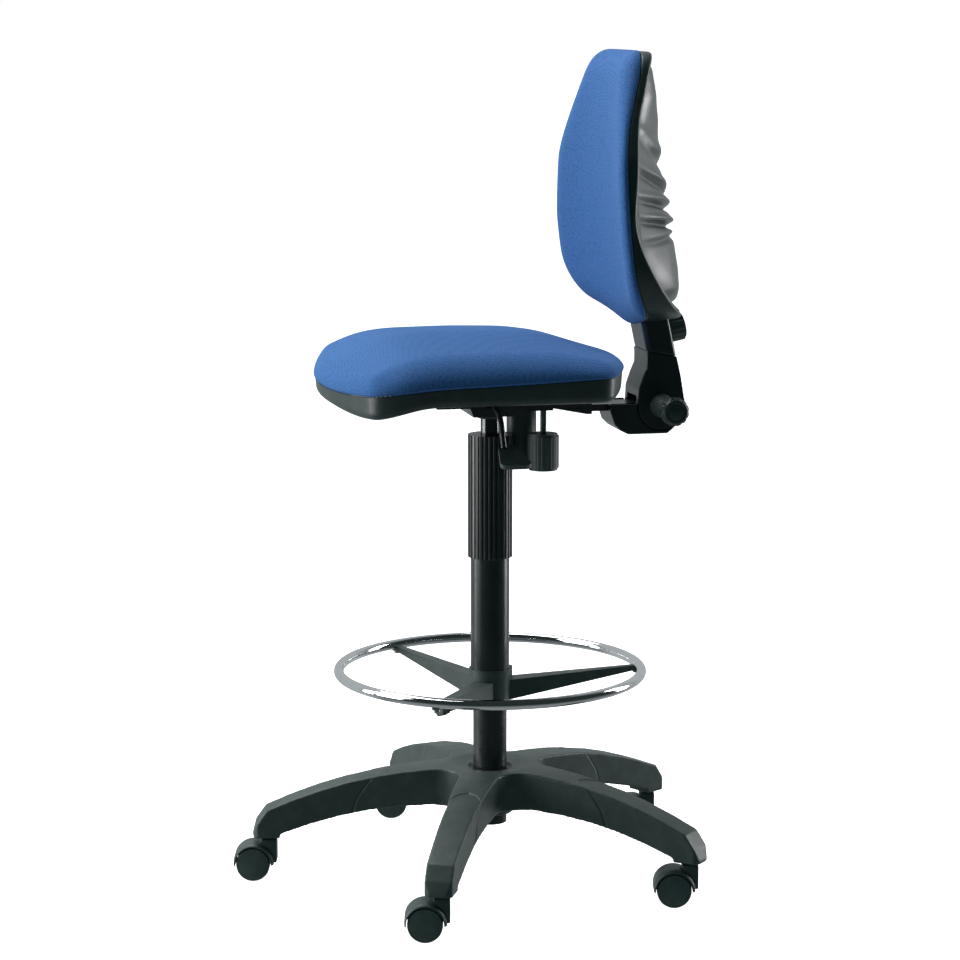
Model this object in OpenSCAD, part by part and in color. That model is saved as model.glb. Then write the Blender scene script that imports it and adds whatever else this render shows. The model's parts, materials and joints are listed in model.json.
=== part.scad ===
// Drafting chair: five-arm base on twin-wheel casters, gas lift with telescoping covers,
// adjustable foot ring, tilting seat and a reclining, height-adjustable backrest.
// The front is -Y, the sitter's left is +X, and the floor is Z = 0 under the column.

/* [Base and casters] */
// Distance of each caster stem from the column axis
stem_r = 330; // [310:5:345]
// Caster wheel diameter
wheel_d = 50; // [46:1:50]
// Distance from a caster stem to its wheel axle
trail = 22; // [20:1:24]
// Direction of the first base arm, in degrees from +X
arm_angle = 47.5; // [0:0.5:71.5]
// Direction in which every caster trails at rest
trail_angle = 257.5; // [0:0.5:359.5]

/* [Column] */
// Outside diameter of the fixed column tube
tube_d = 50; // [48:1:50]
// Outside diameter of the smooth sleeve on the tube
sleeve_d = 57; // [56:0.5:57]
// Outside diameter of the ribbed sleeve
ribbed_d = 65.5; // [64:0.5:66]
// Number of grooves round the ribbed sleeve
groove_count = 30; // [24:1:36]

/* [Foot ring] */
// Radius of the foot ring at the middle of its tube
ring_r = 223.5; // [200:0.5:230]
// Diameter of the foot ring's tube
ring_tube_d = 15; // [15:1:18]
// Height of the foot ring
ring_z = 308; // [306:1:310]

/* [Seat] */
// Width of the seat
seat_w = 460; // [430:5:480]
// Front edge of the seat
seat_front = -250; // [-260:5:-240]
// Rear edge of the seat
seat_rear = 182; // [175:1:185]

/* [Backrest] */
// Height of the backrest's top edge
back_top = 1213; // [1205:1:1225]
// Forward lean of the upright, in degrees
lean = 12; // [11:0.5:13]
// Radius of the backrest's sideways curve
back_curve_r = 533; // [500:1:560]

/* [Hidden] */
$fn = 64;
run_gap = 0.05;      // radial clearance of every running fit
far = 400;           // reach of cutting solids

black = [0.09, 0.10, 0.10];
steel = [0.62, 0.63, 0.65];
blue = [0.19, 0.33, 0.62];

// Base
arm_count = 5;
hub_r = 60;
hub_top = 162;
hub_wall_r = 34;
arm_root_w = 58;
arm_mid_w = 46;
arm_tip_w = 40;
arm_tip_r = stem_r + 23;
arm_block_r = stem_r - 16;
arm_under_z = 64.5;
arm_fillet = 34;         // radius in plan where two arms meet
arm_skin = 4.5;
long_rib_w = 8;          // sideways distance of the ribs along each arm from its middle
long_rib_t = 3;
rib_radii = [66, 140, 146, 214, 220, 288, 293, 311];
socket_r = 7.5;
socket_top = 90;
stem_pin_r = 5.5;
stem_pin_top = 88;

// Caster, in its own frame: stem axis at the origin, trailing towards +X
wheel_r = wheel_d / 2;
wheel_in = 10;
wheel_out = 24.5;
hood_half = 24;
block_half = 15;
web_half = 9.6;
axle_r = 3;

// Column
tube_r = tube_d / 2;
tube_in_r = tube_r - 1.5;
tube_bottom = 77;
tube_top = 505;
sleeve_bottom = 311.2;
sleeve_top = 498;
ribbed_bottom = 478.5;
ribbed_top = 660;
ribbed_cap = 8;
cyl_r = 14;
cyl_in_r = 12;
cyl_bottom = 245;
cyl_top = 708;
rod_r = 5;
button_r = 4;
button_top = 711.5;

// Foot ring
spider_r = 31;
spider_bottom = 257;
spider_top = 311;
spoke_angle = 87.5;
spoke_w = 30;
spoke_tip_w = 10;
rivet_r = 2.5;
rivet_at = ring_r - 2;
rivet_z = 295;
clamp_angle = 302.5;
clamp_z = 266;
stud_r = 4;

// Mechanism
pin_y = -70;
pin_z = 715;
pin_r = 6;
housing_half = 44;
housing_wall = 3;
plate_half = 51;
plate_under = 728;
plate_top = 731;
spring_x = -22;
spring_y = 52;
spring_z = 618;
cup_r = 22;
knob_x = 30;
knob_y = 72.5;
knob_r = 23;
lever_y = -10;
lever_r = 4;
screw_x = 66;
screw_ys = [-58, 92];
arm_hole_x = 170;
arm_hole_ys = [-60, 20];
arm_hole_r = 4.2;
board_z = 734;           // underside of the seat's plywood board
board_thick = 12;

// Rear hinge and upright
hinge_y = 249;
hinge_z = 699.5;
boot_r = 36;
boot_half = 38;
bolt_r = 6;
bar_half = 22.5;
bar_z = 692;
bar_thick = 10;
joint_z = 775.6;         // height of the seam between boot and sleeve on the hinge's vertical
joint_slope = -11.3;
sleeve_len = 80;
sleeve_half_x = 38;
sleeve_half_y = 21;
strip_half_x = 20;
strip_half_y = 4;
height_knob_at = 27;
height_knob_r = 21.5;

// Backrest layers, measured rearwards from its front face
pad_t = 18;
board_t = 7;
floor_t = 3;
rim_wall = 4;
back_low = 819;

// ---------- helpers ----------

// Extrudes a (Y, Z) outline along X, to half on each side
module along_x(half) {
    rotate([90, 0, 90])
        linear_extrude(2 * half, center = true)
            children();
}

// Extrudes an (X, Z) outline along Y, from y0 to y1
module along_y(y0, y1) {
    translate([0, y1, 0])
        rotate([90, 0, 0])
            linear_extrude(y1 - y0)
                children();
}

module ring(r_out, r_in, z0, z1) {
    translate([0, 0, z0])
        difference() {
            cylinder(h = z1 - z0, r = r_out);
            translate([0, 0, -1])
                cylinder(h = z1 - z0 + 2, r = r_in);
        }
}

// A round bar from point a to point b, run on a little at both ends
module rod_between(a, b, r) {
    d = b - a;
    length = norm(d);
    translate(a)
        rotate([0, acos(d[2] / length), atan2(d[1], d[0])])
            translate([0, 0, -r / 3]) cylinder(h = length + 2 * r / 3, r = r);
}

// A round outline with shallow lobes cut round its edge
module lobed(r, lobes, cut_r, depth) {
    difference() {
        circle(r = r);
        for (i = [0 : lobes - 1])
            rotate(360 * (i + 0.5) / lobes)
                translate([r + cut_r - depth, 0])
                    circle(r = cut_r, $fn = 24);
    }
}

// ---------- base ----------

// Height of the arms' top and bottom faces at radius r
function arm_top_z(r) = r < hub_r ? hub_top + 4 : hub_top + 4 - 7.9e-4 * pow(r - hub_r, 2);
function arm_low_z(r) = r < 95 ? 111 : 111 - 8.5e-4 * pow(r - 95, 2);

module star_outline(shrink = 0) {
    offset(r = -arm_fillet, $fn = 48)
        offset(delta = arm_fillet - shrink)
            for (i = [0 : arm_count - 1])
                rotate(arm_angle + 360 * i / arm_count)
                    polygon([
                        [0, arm_root_w / 2], [78, arm_root_w / 2], [200, arm_mid_w / 2],
                        [arm_tip_r - 6, arm_tip_w / 2], [arm_tip_r, arm_tip_w / 2 - 8],
                        [arm_tip_r, 8 - arm_tip_w / 2], [arm_tip_r - 6, -arm_tip_w / 2],
                        [200, -arm_mid_w / 2], [78, -arm_root_w / 2], [0, -arm_root_w / 2]
                    ]);
}

module arm_side() {
    tops = [for (r = [hub_r : 39 : arm_tip_r - 15]) [r, arm_top_z(r)]];
    lows = [for (r = [arm_block_r : -44 : hub_r]) [r, arm_low_z(r)]];
    rotate_extrude($fn = 128)
        polygon(concat(
            [[0, hub_top], [38, hub_top]], tops,
            [[arm_tip_r - 5, arm_top_z(arm_tip_r) - 12], [arm_tip_r, arm_under_z + 4]],
            [[arm_tip_r, arm_under_z], [arm_block_r, arm_under_z]], lows,
            [[hub_wall_r, 107], [hub_wall_r, 92], [0, 92]]
        ));
}

module arm_pocket(r0, r1) {
    steps = 3;
    radii = [for (k = [0 : steps]) r0 + (r1 - r0) * k / steps];
    rotate_extrude($fn = 128)
        polygon(concat(
            [[r0, 40], [r0, arm_top_z(r0) - arm_skin]],
            [for (r = radii) [r, arm_top_z(r) - arm_skin]],
            [[r1, 40]]
        ));
}

// Everything but the two ribs that run along each arm
module between_long_ribs() {
    difference() {
        circle(r = arm_tip_r);
        for (i = [0 : arm_count - 1], s = [-1, 1])
            rotate(arm_angle + 360 * i / arm_count)
                translate([hub_wall_r + 6, s * long_rib_w - long_rib_t / 2])
                    square([arm_tip_r, long_rib_t]);
    }
}

module star_base() {
    color(black)
        difference() {
            intersection() {
                arm_side();
                union() {
                    linear_extrude(200) star_outline();
                    cylinder(h = 200, r = hub_r);
                }
            }
            intersection() {
                linear_extrude(200) star_outline(arm_skin);
                for (k = [0 : 3])
                    arm_pocket(rib_radii[2 * k], rib_radii[2 * k + 1]);
                linear_extrude(200) between_long_ribs();
            }
            cylinder(h = 200, r = tube_r);
            translate([0, 0, hub_top - 5]) cylinder(h = 20, r = 32);
            at_stems() cylinder(h = socket_top, r = socket_r);
        }
}

module at_stems() {
    for (i = [0 : arm_count - 1])
        rotate(arm_angle + 360 * i / arm_count)
            translate([stem_r, 0, 0])
                children();
}

module caster_sockets() {
    color(black)
        at_stems()
            ring(socket_r, stem_pin_r + run_gap, arm_under_z, socket_top);
}

// ---------- casters ----------

module at_caster(k) {
    a = arm_angle + 360 * (k - 1) / arm_count;
    translate([stem_r * cos(a), stem_r * sin(a), 0])
        rotate(trail_angle)
            children();
}

module hood_outline(block) {
    difference() {
        union() {
            if (block)
                translate([-13, 30]) square([24, 31]);
            else
                translate([trail - 2.5, wheel_r + 2]) circle(r = 31);
        }
        translate([trail, wheel_r]) circle(r = wheel_r + 1.3);
        translate([-40, -40]) square([120, 61]);
        translate([-40, -10]) square([40, 40]);
    }
}

module caster_hood(k) {
    color(black)
        at_caster(k)
            difference() {
                union() {
                    along_y(-hood_half, hood_half) hood_outline(false);
                    along_y(-block_half, block_half) hood_outline(true);
                    along_y(-web_half, web_half) {
                        translate([-9, 30]) square([24, 31]);
                        translate([trail, wheel_r]) circle(r = 17);
                    }
                    cylinder(h = 63, r = 10);
                }
                translate([0, 0, -1]) cylinder(h = 37, r = 30 - trail + 1.5);
                translate([0, 0, 36]) cylinder(h = 40, r = stem_pin_r);
                along_y(-40, 40) translate([trail, wheel_r]) circle(r = axle_r);
            }
}

module caster_pins(k) {
    color(steel)
        at_caster(k) {
            translate([0, 0, 36]) cylinder(h = stem_pin_top - 36, r = stem_pin_r);
            along_y(-22, 22) translate([trail, wheel_r]) circle(r = axle_r);
        }
}

// One wheel, axis up, inner face at 0
module wheel_shape() {
    w = wheel_out - wheel_in;
    rotate_extrude()
        polygon([
            [axle_r + run_gap, 0], [wheel_r - 1.5, 0], [wheel_r, 1.5], [wheel_r, w - 3.5],
            [wheel_r - 1, w - 1.5], [wheel_r - 3, w - 0.4], [wheel_r - 4, w - 0.8],
            [wheel_r - 6, w - 0.3], [0, w], [0, w - 2.2], [axle_r + run_gap, w - 2.2]
        ]);
}

module wheel(k, side) {
    color(black)
        at_caster(k)
            translate([trail, side * wheel_in, wheel_r])
                rotate([-90 * side, 0, 0])
                    wheel_shape();
}

// ---------- column ----------

module gas_tube() {
    color(black) {
        difference() {
            translate([0, 0, tube_bottom]) cylinder(h = tube_top - tube_bottom, r = tube_r);
            translate([0, 0, tube_bottom + 9]) cylinder(h = tube_top, r = tube_in_r);
            translate([0, 0, tube_bottom - 1]) cylinder(h = 4, r = tube_in_r);
            cylinder(h = tube_top, r = rod_r);
        }
    }
}

module tube_guide() {
    color("dimgray") ring(tube_in_r, cyl_r + run_gap, tube_top - 110, tube_top);
}

module smooth_sleeve() {
    color(black) ring(sleeve_d / 2, tube_r, sleeve_bottom, sleeve_top);
}

module piston_rod() {
    color(steel) {
        translate([0, 0, 78]) cylinder(h = 184, r = rod_r);
        translate([0, 0, 262]) cylinder(h = 10, r = cyl_in_r - run_gap);
    }
}

module rod_bearing() {
    color(steel) ring(14, rod_r, tube_bottom + 9, 95);
}

module rod_clip() {
    color(steel) ring(9, rod_r, 78, 80);
}

module ribbed_sleeve() {
    ribbed_r = ribbed_d / 2;
    groove_r = 2.2;
    color(black)
        translate([0, 0, ribbed_bottom])
            difference() {
                linear_extrude(ribbed_top - ribbed_bottom)
                    lobed(ribbed_r, groove_count, groove_r, 1.2);
                translate([0, 0, -1])
                    cylinder(h = ribbed_top - ribbed_bottom - ribbed_cap + 1, r = 29);
                cylinder(h = far, r = cyl_r + run_gap);
            }
}

module gas_cylinder() {
    color(steel)
        difference() {
            translate([0, 0, cyl_bottom]) cylinder(h = cyl_top - cyl_bottom, r = cyl_r);
            translate([0, 0, cyl_bottom + 8]) cylinder(h = 387, r = cyl_in_r);
            translate([0, 0, cyl_bottom - 1]) cylinder(h = 20, r = rod_r + run_gap);
            translate([0, 0, cyl_top - 14]) cylinder(h = 20, r = button_r + run_gap);
        }
}

module valve_button() {
    color("dimgray")
        translate([0, 0, button_top - 12]) cylinder(h = 12, r = button_r);
}

// ---------- foot ring ----------

module at_spokes() {
    for (a = [0, 120, 240])
        rotate(spoke_angle + a)
            children();
}

module ring_torus(r) {
    translate([0, 0, ring_z])
        rotate_extrude($fn = 128)
            translate([ring_r, 0]) circle(r = r, $fn = 32);
}

module spoke() {
    intersection() {
        rotate([90, 0, 0])
            linear_extrude(spoke_w, center = true)
                polygon([[26, 264], [26, 294], [214, 306], [ring_r + 4, 306], [ring_r + 4, 298], [214, 298]]);
        translate([0, 0, spider_bottom])
            linear_extrude(60)
                polygon([
                    [0, -spoke_w / 2], [26, -spoke_w / 2], [214, -spoke_tip_w / 2],
                    [ring_r + 4, -spoke_tip_w / 2], [ring_r + 4, spoke_tip_w / 2],
                    [214, spoke_tip_w / 2], [26, spoke_w / 2], [0, spoke_w / 2]
                ]);
    }
}

module ring_spider() {
    color(black)
        difference() {
            union() {
                translate([0, 0, spider_bottom])
                    cylinder(h = spider_top - spider_bottom, r = spider_r);
                at_spokes() spoke();
                rotate(clamp_angle)
                    translate([20, 0, clamp_z]) rotate([0, 90, 0]) cylinder(h = 22, r = 8.5);
                rotate(clamp_angle + 180)
                    translate([26, -7, spider_top - 20]) cube([14, 14, 18]);
            }
            translate([0, 0, spider_bottom - 1]) cylinder(h = 80, r = tube_r + run_gap);
            ring_torus(ring_tube_d / 2);
            rotate(clamp_angle)
                translate([20, 0, clamp_z]) rotate([0, 90, 0]) cylinder(h = 40, r = stud_r + run_gap);
            rotate(clamp_angle + 180)
                translate([20, -1, spider_bottom - 1]) cube([30, 2, 80]);
            at_spokes() translate([rivet_at, 0, 280]) cylinder(h = 40, r = rivet_r);
        }
}

module foot_ring() {
    color("silver")
        difference() {
            ring_torus(ring_tube_d / 2);
            ring_torus(ring_tube_d / 2 - 1.5);
            at_spokes() translate([rivet_at, 0, 280]) cylinder(h = ring_z - 280, r = rivet_r);
        }
}

module ring_rivets() {
    color(steel)
        at_spokes()
            translate([rivet_at, 0, rivet_z]) {
                cylinder(h = 12, r = rivet_r);
                cylinder(h = 3, r = 5);
            }
}

module ring_clamp_knob() {
    color(black)
        rotate(clamp_angle)
            translate([0, 0, clamp_z])
                rotate([0, 90, 0]) {
                    translate([0, 0, tube_r + 0.5]) cylinder(h = 50, r = stud_r);
                    translate([0, 0, 60]) cylinder(h = 32, r1 = 6, r2 = 8);
                    translate([0, 0, 92]) linear_extrude(15) lobed(11, 6, 5, 1.5);
                }
}

// ---------- mechanism under the seat ----------

module tilt_housing() {
    side = [
        [-92, 726], [-92, 712], [-84, 706], [-40, 706], [-34, 691], [22, 691], [28, 698],
        [84, 698], [84, 712], [pin_y, 726]
    ];
    inside = [
        [-89, 740], [-89, 713.5], [-83, 709], [-38, 709], [-32, 694], [20.7, 694], [26.7, 701],
        [81, 701], [81, 740]
    ];
    color([0.2, 0.2, 0.21])
        difference() {
            union() {
                difference() {
                    along_x(housing_half) polygon(side);
                    along_x(housing_half - housing_wall) polygon(inside);
                }
                translate([0, 0, 684]) cylinder(h = 10, r1 = 18, r2 = 23);
                translate([0, 0, 692]) cylinder(h = 14, r = 20);
            }
            cylinder(h = far * 2, r = cyl_r);
            along_x(80) translate([pin_y, pin_z]) circle(r = pin_r);
            translate([spring_x, spring_y, 690]) cylinder(h = 20, r = cup_r - 2);
            translate([knob_x, knob_y, 690]) cylinder(h = 20, r = 4.5 + run_gap);
            translate([30, lever_y - 6, 704]) cube([30, 12, 17]);
        }
}

module tilt_pin() {
    color(steel) along_x(54) translate([pin_y, pin_z]) circle(r = pin_r);
}

// A coil of round wire, closed at both ends, swept by rule along its helix
module tilt_spring() {
    turns = 7;
    per_turn = 12;
    sides = 8;
    coil_r = 14;
    wire_r = 2.5;
    z0 = spring_z + wire_r + 0.3;
    rise = 713 - z0;
    last = turns * per_turn;
    points = [
        for (i = [0 : last], j = [0 : sides - 1])
            let (a = 360 * i / per_turn, b = 360 * j / sides)
            [
                (coil_r + wire_r * cos(b)) * cos(a),
                (coil_r + wire_r * cos(b)) * sin(a),
                wire_r * sin(b) + rise * i / last
            ]
    ];
    walls = [
        for (i = [0 : last - 1], j = [0 : sides - 1])
            let (k = (j + 1) % sides)
            [i * sides + j, i * sides + k, (i + 1) * sides + k, (i + 1) * sides + j]
    ];
    ends = [[for (j = [sides - 1 : -1 : 0]) j], [for (j = [0 : sides - 1]) last * sides + j]];
    color(steel)
        translate([spring_x, spring_y, z0])
            polyhedron(points = points, faces = concat(walls, ends));
}

module spring_cup() {
    color(black)
        translate([spring_x, spring_y, 0])
            difference() {
                translate([0, 0, spring_z - 3]) cylinder(h = 698 - spring_z + 3, r = cup_r);
                translate([0, 0, spring_z]) cylinder(h = 100, r = cup_r - 2);
            }
}

module tension_knob() {
    color(black)
        translate([knob_x, knob_y, 0]) {
            translate([0, 0, 609.5]) linear_extrude(3.5) circle(r = knob_r - 2);
            translate([0, 0, 613]) linear_extrude(47) lobed(knob_r, 24, 3, 0.5);
            translate([0, 0, 660]) cylinder(h = 3, r = knob_r - 2);
            translate([0, 0, 660]) cylinder(h = 50, r = 4.5);
        }
}

module lift_lever() {
    reach = [
        [0, lever_y + 10, 715.9], [26, lever_y, 715.5], [58, lever_y, 713],
        [104, lever_y, 704], [118, lever_y, 690], [134, lever_y, 660]
    ];
    color(black)
        difference() {
            for (i = [0 : 4]) rod_between(reach[i], reach[i + 1], lever_r);
            translate([-20, -20, 700]) cube([40, 40, 11.8]);
        }
}

module lift_paddle() {
    color(black)
        translate([132, lever_y + 6, 660])
            rotate([0, 16, 0])
                difference() {
                    translate([0, 0, -6])
                        linear_extrude(6)
                            difference() {
                                hull() {
                                    translate([4, 0]) circle(r = 14);
                                    translate([52, 12]) circle(r = 10);
                                    translate([52, -12]) circle(r = 10);
                                }
                                for (x = [0 : 1 : 3], s = [-1, 1])
                                    translate([18 + 12 * x, s * (26 + x)]) circle(r = 7);
                            }
                    rotate([0, -16, 0]) translate([-132, -lever_y - 6, -660]) lever_tail();
                }
}

// The stretch of the lever that the paddle is moulded over
module lever_tail() {
    rod_between([118, lever_y, 690], [134, lever_y, 660], lever_r);
}

module seat_plate() {
    side = [[-97, 731], [-97, 713], [-89, 705], [66, 705], [133, 692], [140, 692], [140, 731]];
    inside = [[-94, 728], [-94, 690], [137, 690], [137, 728]];
    color([0.2, 0.2, 0.21])
        difference() {
            union() {
                difference() {
                    along_x(plate_half) polygon(side);
                    along_x(plate_half - 3) polygon(inside);
                }
                translate([-80, -75, plate_under]) cube([160, 185, plate_top - plate_under]);
                translate([-20, 102, bar_z + bar_thick]) cube([40, 36, 28]);
                translate([spring_x, spring_y, 716]) cylinder(h = 14, r = 10);
            }
            along_x(90) translate([pin_y, pin_z]) circle(r = pin_r + run_gap);
            translate([40, lever_y - 14, 690]) cube([30, 28, 36]);
            translate([-bar_half, 120, bar_z]) cube([2 * bar_half, 40, bar_thick]);
            at_seat_screws() cylinder(h = far, r = 3);
        }
}

module at_seat_screws() {
    for (x = [-screw_x, screw_x], y = screw_ys)
        translate([x, y, 700])
            children();
}

module seat_screws() {
    color(steel)
        at_seat_screws() {
            translate([0, 0, 24]) cylinder(h = 4, r = 6);
            translate([0, 0, 24]) cylinder(h = 20, r = 3);
        }
}

// ---------- seat ----------

module seat_outline(inset = 0) {
    front_r = 95;
    rear_r = 85;
    half = seat_w / 2;
    offset(delta = -inset)
        intersection() {
            hull() {
                for (s = [-1, 1]) {
                    translate([s * (half - front_r), seat_front + front_r]) circle(r = front_r);
                    translate([s * (half - rear_r), seat_rear - rear_r]) circle(r = rear_r);
                }
            }
            translate([0, seat_front + 620]) circle(r = 620, $fn = 128);
            translate([0, seat_rear - 480]) circle(r = 480, $fn = 128);
        }
}

seam_line = [
    [-262, 738], [-208, 748], [-133, 757], [-10, 761], [109, 766], [200, 768]
];

module seat_layer(inset, low, high) {
    reversed = [for (i = [len(high) - 1 : -1 : 0]) high[i]];
    intersection() {
        translate([0, 0, 690]) linear_extrude(150) seat_outline(inset);
        along_x(seat_w) polygon(concat(low, reversed));
    }
}

module at_arm_holes() {
    for (x = [-arm_hole_x, arm_hole_x], y = arm_hole_ys)
        translate([x, y, 700])
            children();
}

module seat_board() {
    color("burlywood")
        difference() {
            translate([0, 0, board_z]) linear_extrude(board_thick) seat_outline(34);
            at_seat_screws() cylinder(h = 44, r = 3);
            at_arm_holes() cylinder(h = 60, r = arm_hole_r);
        }
}

module seat_shell() {
    bottom = [
        [-262, 736], [-250, 724], [-244, 718.5], [-237, 714.5], [-229, 712.3], [-220, 711.8],
        [-207, 713.2], [-192, 716.8], [-176, 721.3], [-160, 725.8], [-145, 729.2], [-130, 731],
        [140, 731], [152, 732.6], [164, 736.2], [178, 742.2], [200, 754]
    ];
    floor_line = [
        [-246, 728], [-222, 717], [-196, 720], [-160, 729.5], [-130, board_z], [148, board_z],
        [182, 750]
    ];
    lid = [for (p = seam_line) [p[0], p[1] + 20]];
    color(black)
        difference() {
            seat_layer(0, bottom, seam_line);
            seat_layer(rim_wall, floor_line, lid);
            at_seat_screws() cylinder(h = far, r = 3);
            at_arm_holes() cylinder(h = far, r = arm_hole_r);
        }
}

module seat_cushion() {
    crest = [
        [-262, 752], [-236, 768], [-204, 785], [-170, 803], [-128, 811], [-28, 812], [60, 808],
        [115, 796], [150, 782], [200, 770]
    ];
    color(blue)
        union() {
            seat_layer(0, seam_line, crest);
            translate([0, 0, board_z + board_thick])
                linear_extrude(24) seat_outline(rim_wall + 22);
        }
}

// ---------- rear bar and hinge ----------

module back_bar() {
    ear_r = 17;
    color(steel)
        difference() {
            union() {
                translate([-bar_half, 120, bar_z])
                    cube([2 * bar_half, hinge_y - 125, bar_thick]);
                for (x = [-16, 16])
                    translate([x, 0, 0]) {
                        along_x(4) translate([hinge_y, hinge_z]) circle(r = ear_r);
                        translate([-4, hinge_y - 24, bar_z]) cube([8, 20, bar_thick]);
                    }
            }
            along_x(60) translate([hinge_y, hinge_z]) circle(r = bolt_r + run_gap);
            along_x(11.9) translate([hinge_y, hinge_z]) circle(r = ear_r + 1);
        }
}

module bar_cover() {
    side = [
        [171, 703], [171, 693], [178, 673], [187, 664], [199, 658], [258, 658], [276, 673],
        [hinge_y, hinge_z], [213, 703]
    ];
    inside = [[174, 720], [174, 693.5], [181, 675], [189, 667], [200, 661.5], [228, 661.5], [228, 720]];
    color(black)
        difference() {
            along_x(boot_half + 1) polygon(side);
            along_x(60) translate([hinge_y, hinge_z]) circle(r = boot_r + 0.4);
            along_x(boot_half - 2) polygon(inside);
            translate([-bar_half, 150, bar_z]) cube([2 * bar_half, 60, 40]);
        }
}

// Keeps what is above (side = 1) or below (side = -1) the seam of boot and sleeve
module seam_cut(side) {
    translate([0, hinge_y, joint_z])
        rotate([joint_slope, 0, 0])
            translate([-60, -60, side > 0 ? -120 : 0])
                cube([120, 120, 120]);
}

module in_upright() {
    translate([0, hinge_y, 777]) rotate([lean, 0, 0]) children();
}

module upright_boot() {
    outer = [
        [225.3, 790], [227.3, 770], [227, 757], [221, 743], [214.5, 724], [213, 700],
        [285, 700], [278, 742], [267, 790]
    ];
    inner = [
        [231, 800], [231.5, 757], [226, 744], [220, 722], [220, 700], [280, 700],
        [273.5, 742], [263, 800]
    ];
    color(black)
        difference() {
            along_x(boot_half)
                union() {
                    translate([hinge_y, hinge_z]) circle(r = boot_r);
                    polygon(outer);
                }
            along_x(boot_half - 8)
                union() {
                    translate([hinge_y, hinge_z]) circle(r = boot_r - 5);
                    polygon(inner);
                }
            translate([-bar_half - 2, 200, 674]) cube([2 * bar_half + 4, 26, 38]);
            along_x(60) translate([hinge_y, hinge_z]) circle(r = bolt_r);
            seam_cut(-1);
        }
}

module sleeve_outline(grow = 0) {
    r = 7;
    offset(r = r)
        square([2 * (sleeve_half_x - r + grow), 2 * (sleeve_half_y - r + grow)], center = true);
}

module strip_slot(grow = 0) {
    square([2 * (strip_half_x + grow), 2 * (strip_half_y + grow)], center = true);
}

module upright_sleeve() {
    color(black)
        difference() {
            in_upright() translate([0, 0, -20]) linear_extrude(sleeve_len + 20) sleeve_outline();
            in_upright() translate([0, 0, -50]) linear_extrude(far) strip_slot(0.1);
            in_upright() translate([0, 0, height_knob_at]) rotate([-90, 0, 0])
                cylinder(h = 60, r = stud_r + run_gap);
            seam_cut(1);
        }
}

module recline_bolt() {
    color(steel)
        at_hinge_x(-38) {
            cylinder(h = 140, r = bolt_r);
            translate([0, 0, -6]) cylinder(h = 6, r = 10, $fn = 6);
        }
}

// Puts a +Z solid on the hinge axis, starting at the given X
module at_hinge_x(x) {
    translate([x, hinge_y, hinge_z]) rotate([0, 90, 0]) children();
}

module recline_collar() {
    color(black)
        at_hinge_x(boot_half)
            difference() {
                cylinder(h = 46, r1 = 18, r2 = 13);
                translate([0, 0, -1]) cylinder(h = 60, r = bolt_r);
            }
}

module recline_knob() {
    color(black)
        at_hinge_x(84.5)
            difference() {
                union() {
                    cylinder(h = 6, r1 = 13, r2 = 20);
                    translate([0, 0, 6]) linear_extrude(22) lobed(22.5, 12, 6, 1.4);
                    translate([0, 0, 28]) cylinder(h = 3, r1 = 20, r2 = 17);
                    translate([0, 0, 28]) cylinder(h = 4, r = 9.5);
                }
                translate([0, 0, -1]) cylinder(h = 19.5, r = bolt_r + run_gap);
            }
}

module height_knob() {
    color(black)
        in_upright()
            translate([0, 0, height_knob_at])
                rotate([-90, 0, 0]) {
                    translate([0, 0, strip_half_y + 0.4]) cylinder(h = 25, r = stud_r);
                    translate([0, 0, sleeve_half_y + 0.6]) cylinder(h = 3, r = 12);
                    translate([0, 0, sleeve_half_y + 3]) linear_extrude(22)
                        lobed(height_knob_r, 16, 5, 0.8);
                    translate([0, 0, sleeve_half_y + 25]) cylinder(h = 2, r = height_knob_r - 3);
                }
}

// ---------- backrest ----------

// Front face of the backrest on the centre plane, at height z
function back_front(z) =
    z < 1125 ? 168 + 27 * pow((1125 - z) / 300, 2) : 168 + 12 * pow((z - 1125) / 88, 2);
// Depth of the shell's rim behind the front face: shallowest beside the folds, deepest at the foot
rim_base = 33;
rim_waist = 4.5;
rim_waist_z = 980;
rim_foot_z = 950;
function rim_depth(z) =
    rim_base - rim_waist * exp(-pow((z - rim_waist_z) / 42, 2))
    + (z < rim_foot_z ? 50 * pow((rim_foot_z - z) / 130, 1.5) : 0);

back_zs = [800, 830, 860, 890, 920, 945, 965, 985, 1010, 1040, 1075, 1125, 1180, 1230];

module pear(inset = 0) {
    offset(delta = -inset)
        hull() {
            for (s = [-1, 1]) {
                translate([s * 78, back_top - 45]) circle(r = 45);
                translate([s * 95, 1035]) circle(r = 90);
                translate([s * 122, 960]) circle(r = 75);
                translate([s * 122, 915]) circle(r = 75);
            }
            translate([0, back_low + 180]) circle(r = 180);
        }
}

// The curved sheet of space between two depths behind the front face
module back_layer(depth_a, depth_b, rim = false) {
    centre_y = -353 - (back_curve_r - 533);
    front = [for (z = back_zs) [back_front(z) - centre_y + depth_a, z]];
    back_zs_down = [for (i = [len(back_zs) - 1 : -1 : 0]) back_zs[i]];
    rear = [
        for (z = back_zs_down)
            [back_front(z) - centre_y + (rim ? rim_depth(z) + depth_b : depth_b), z]
    ];
    translate([0, centre_y, 0])
        rotate([0, 0, 55])
            rotate_extrude(angle = 70, $fn = 180)
                polygon(concat(front, rear));
}

module pear_prism(inset = 0) {
    along_y(100, 340) pear(inset);
}

// Room for the upright sleeve, and the upward slope of the shell's rear bottom edge
module upright_passage() {
    in_upright()
        translate([-sleeve_half_x - 1, -sleeve_half_y - 6, -120])
            cube([2 * sleeve_half_x + 2, 2 * sleeve_half_y + 7, sleeve_len + 121]);
    translate([-200, 214, back_low])
        rotate([19.5, 0, 0])
            translate([0, -2, -90])
                cube([400, 160, 90]);
}

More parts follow.
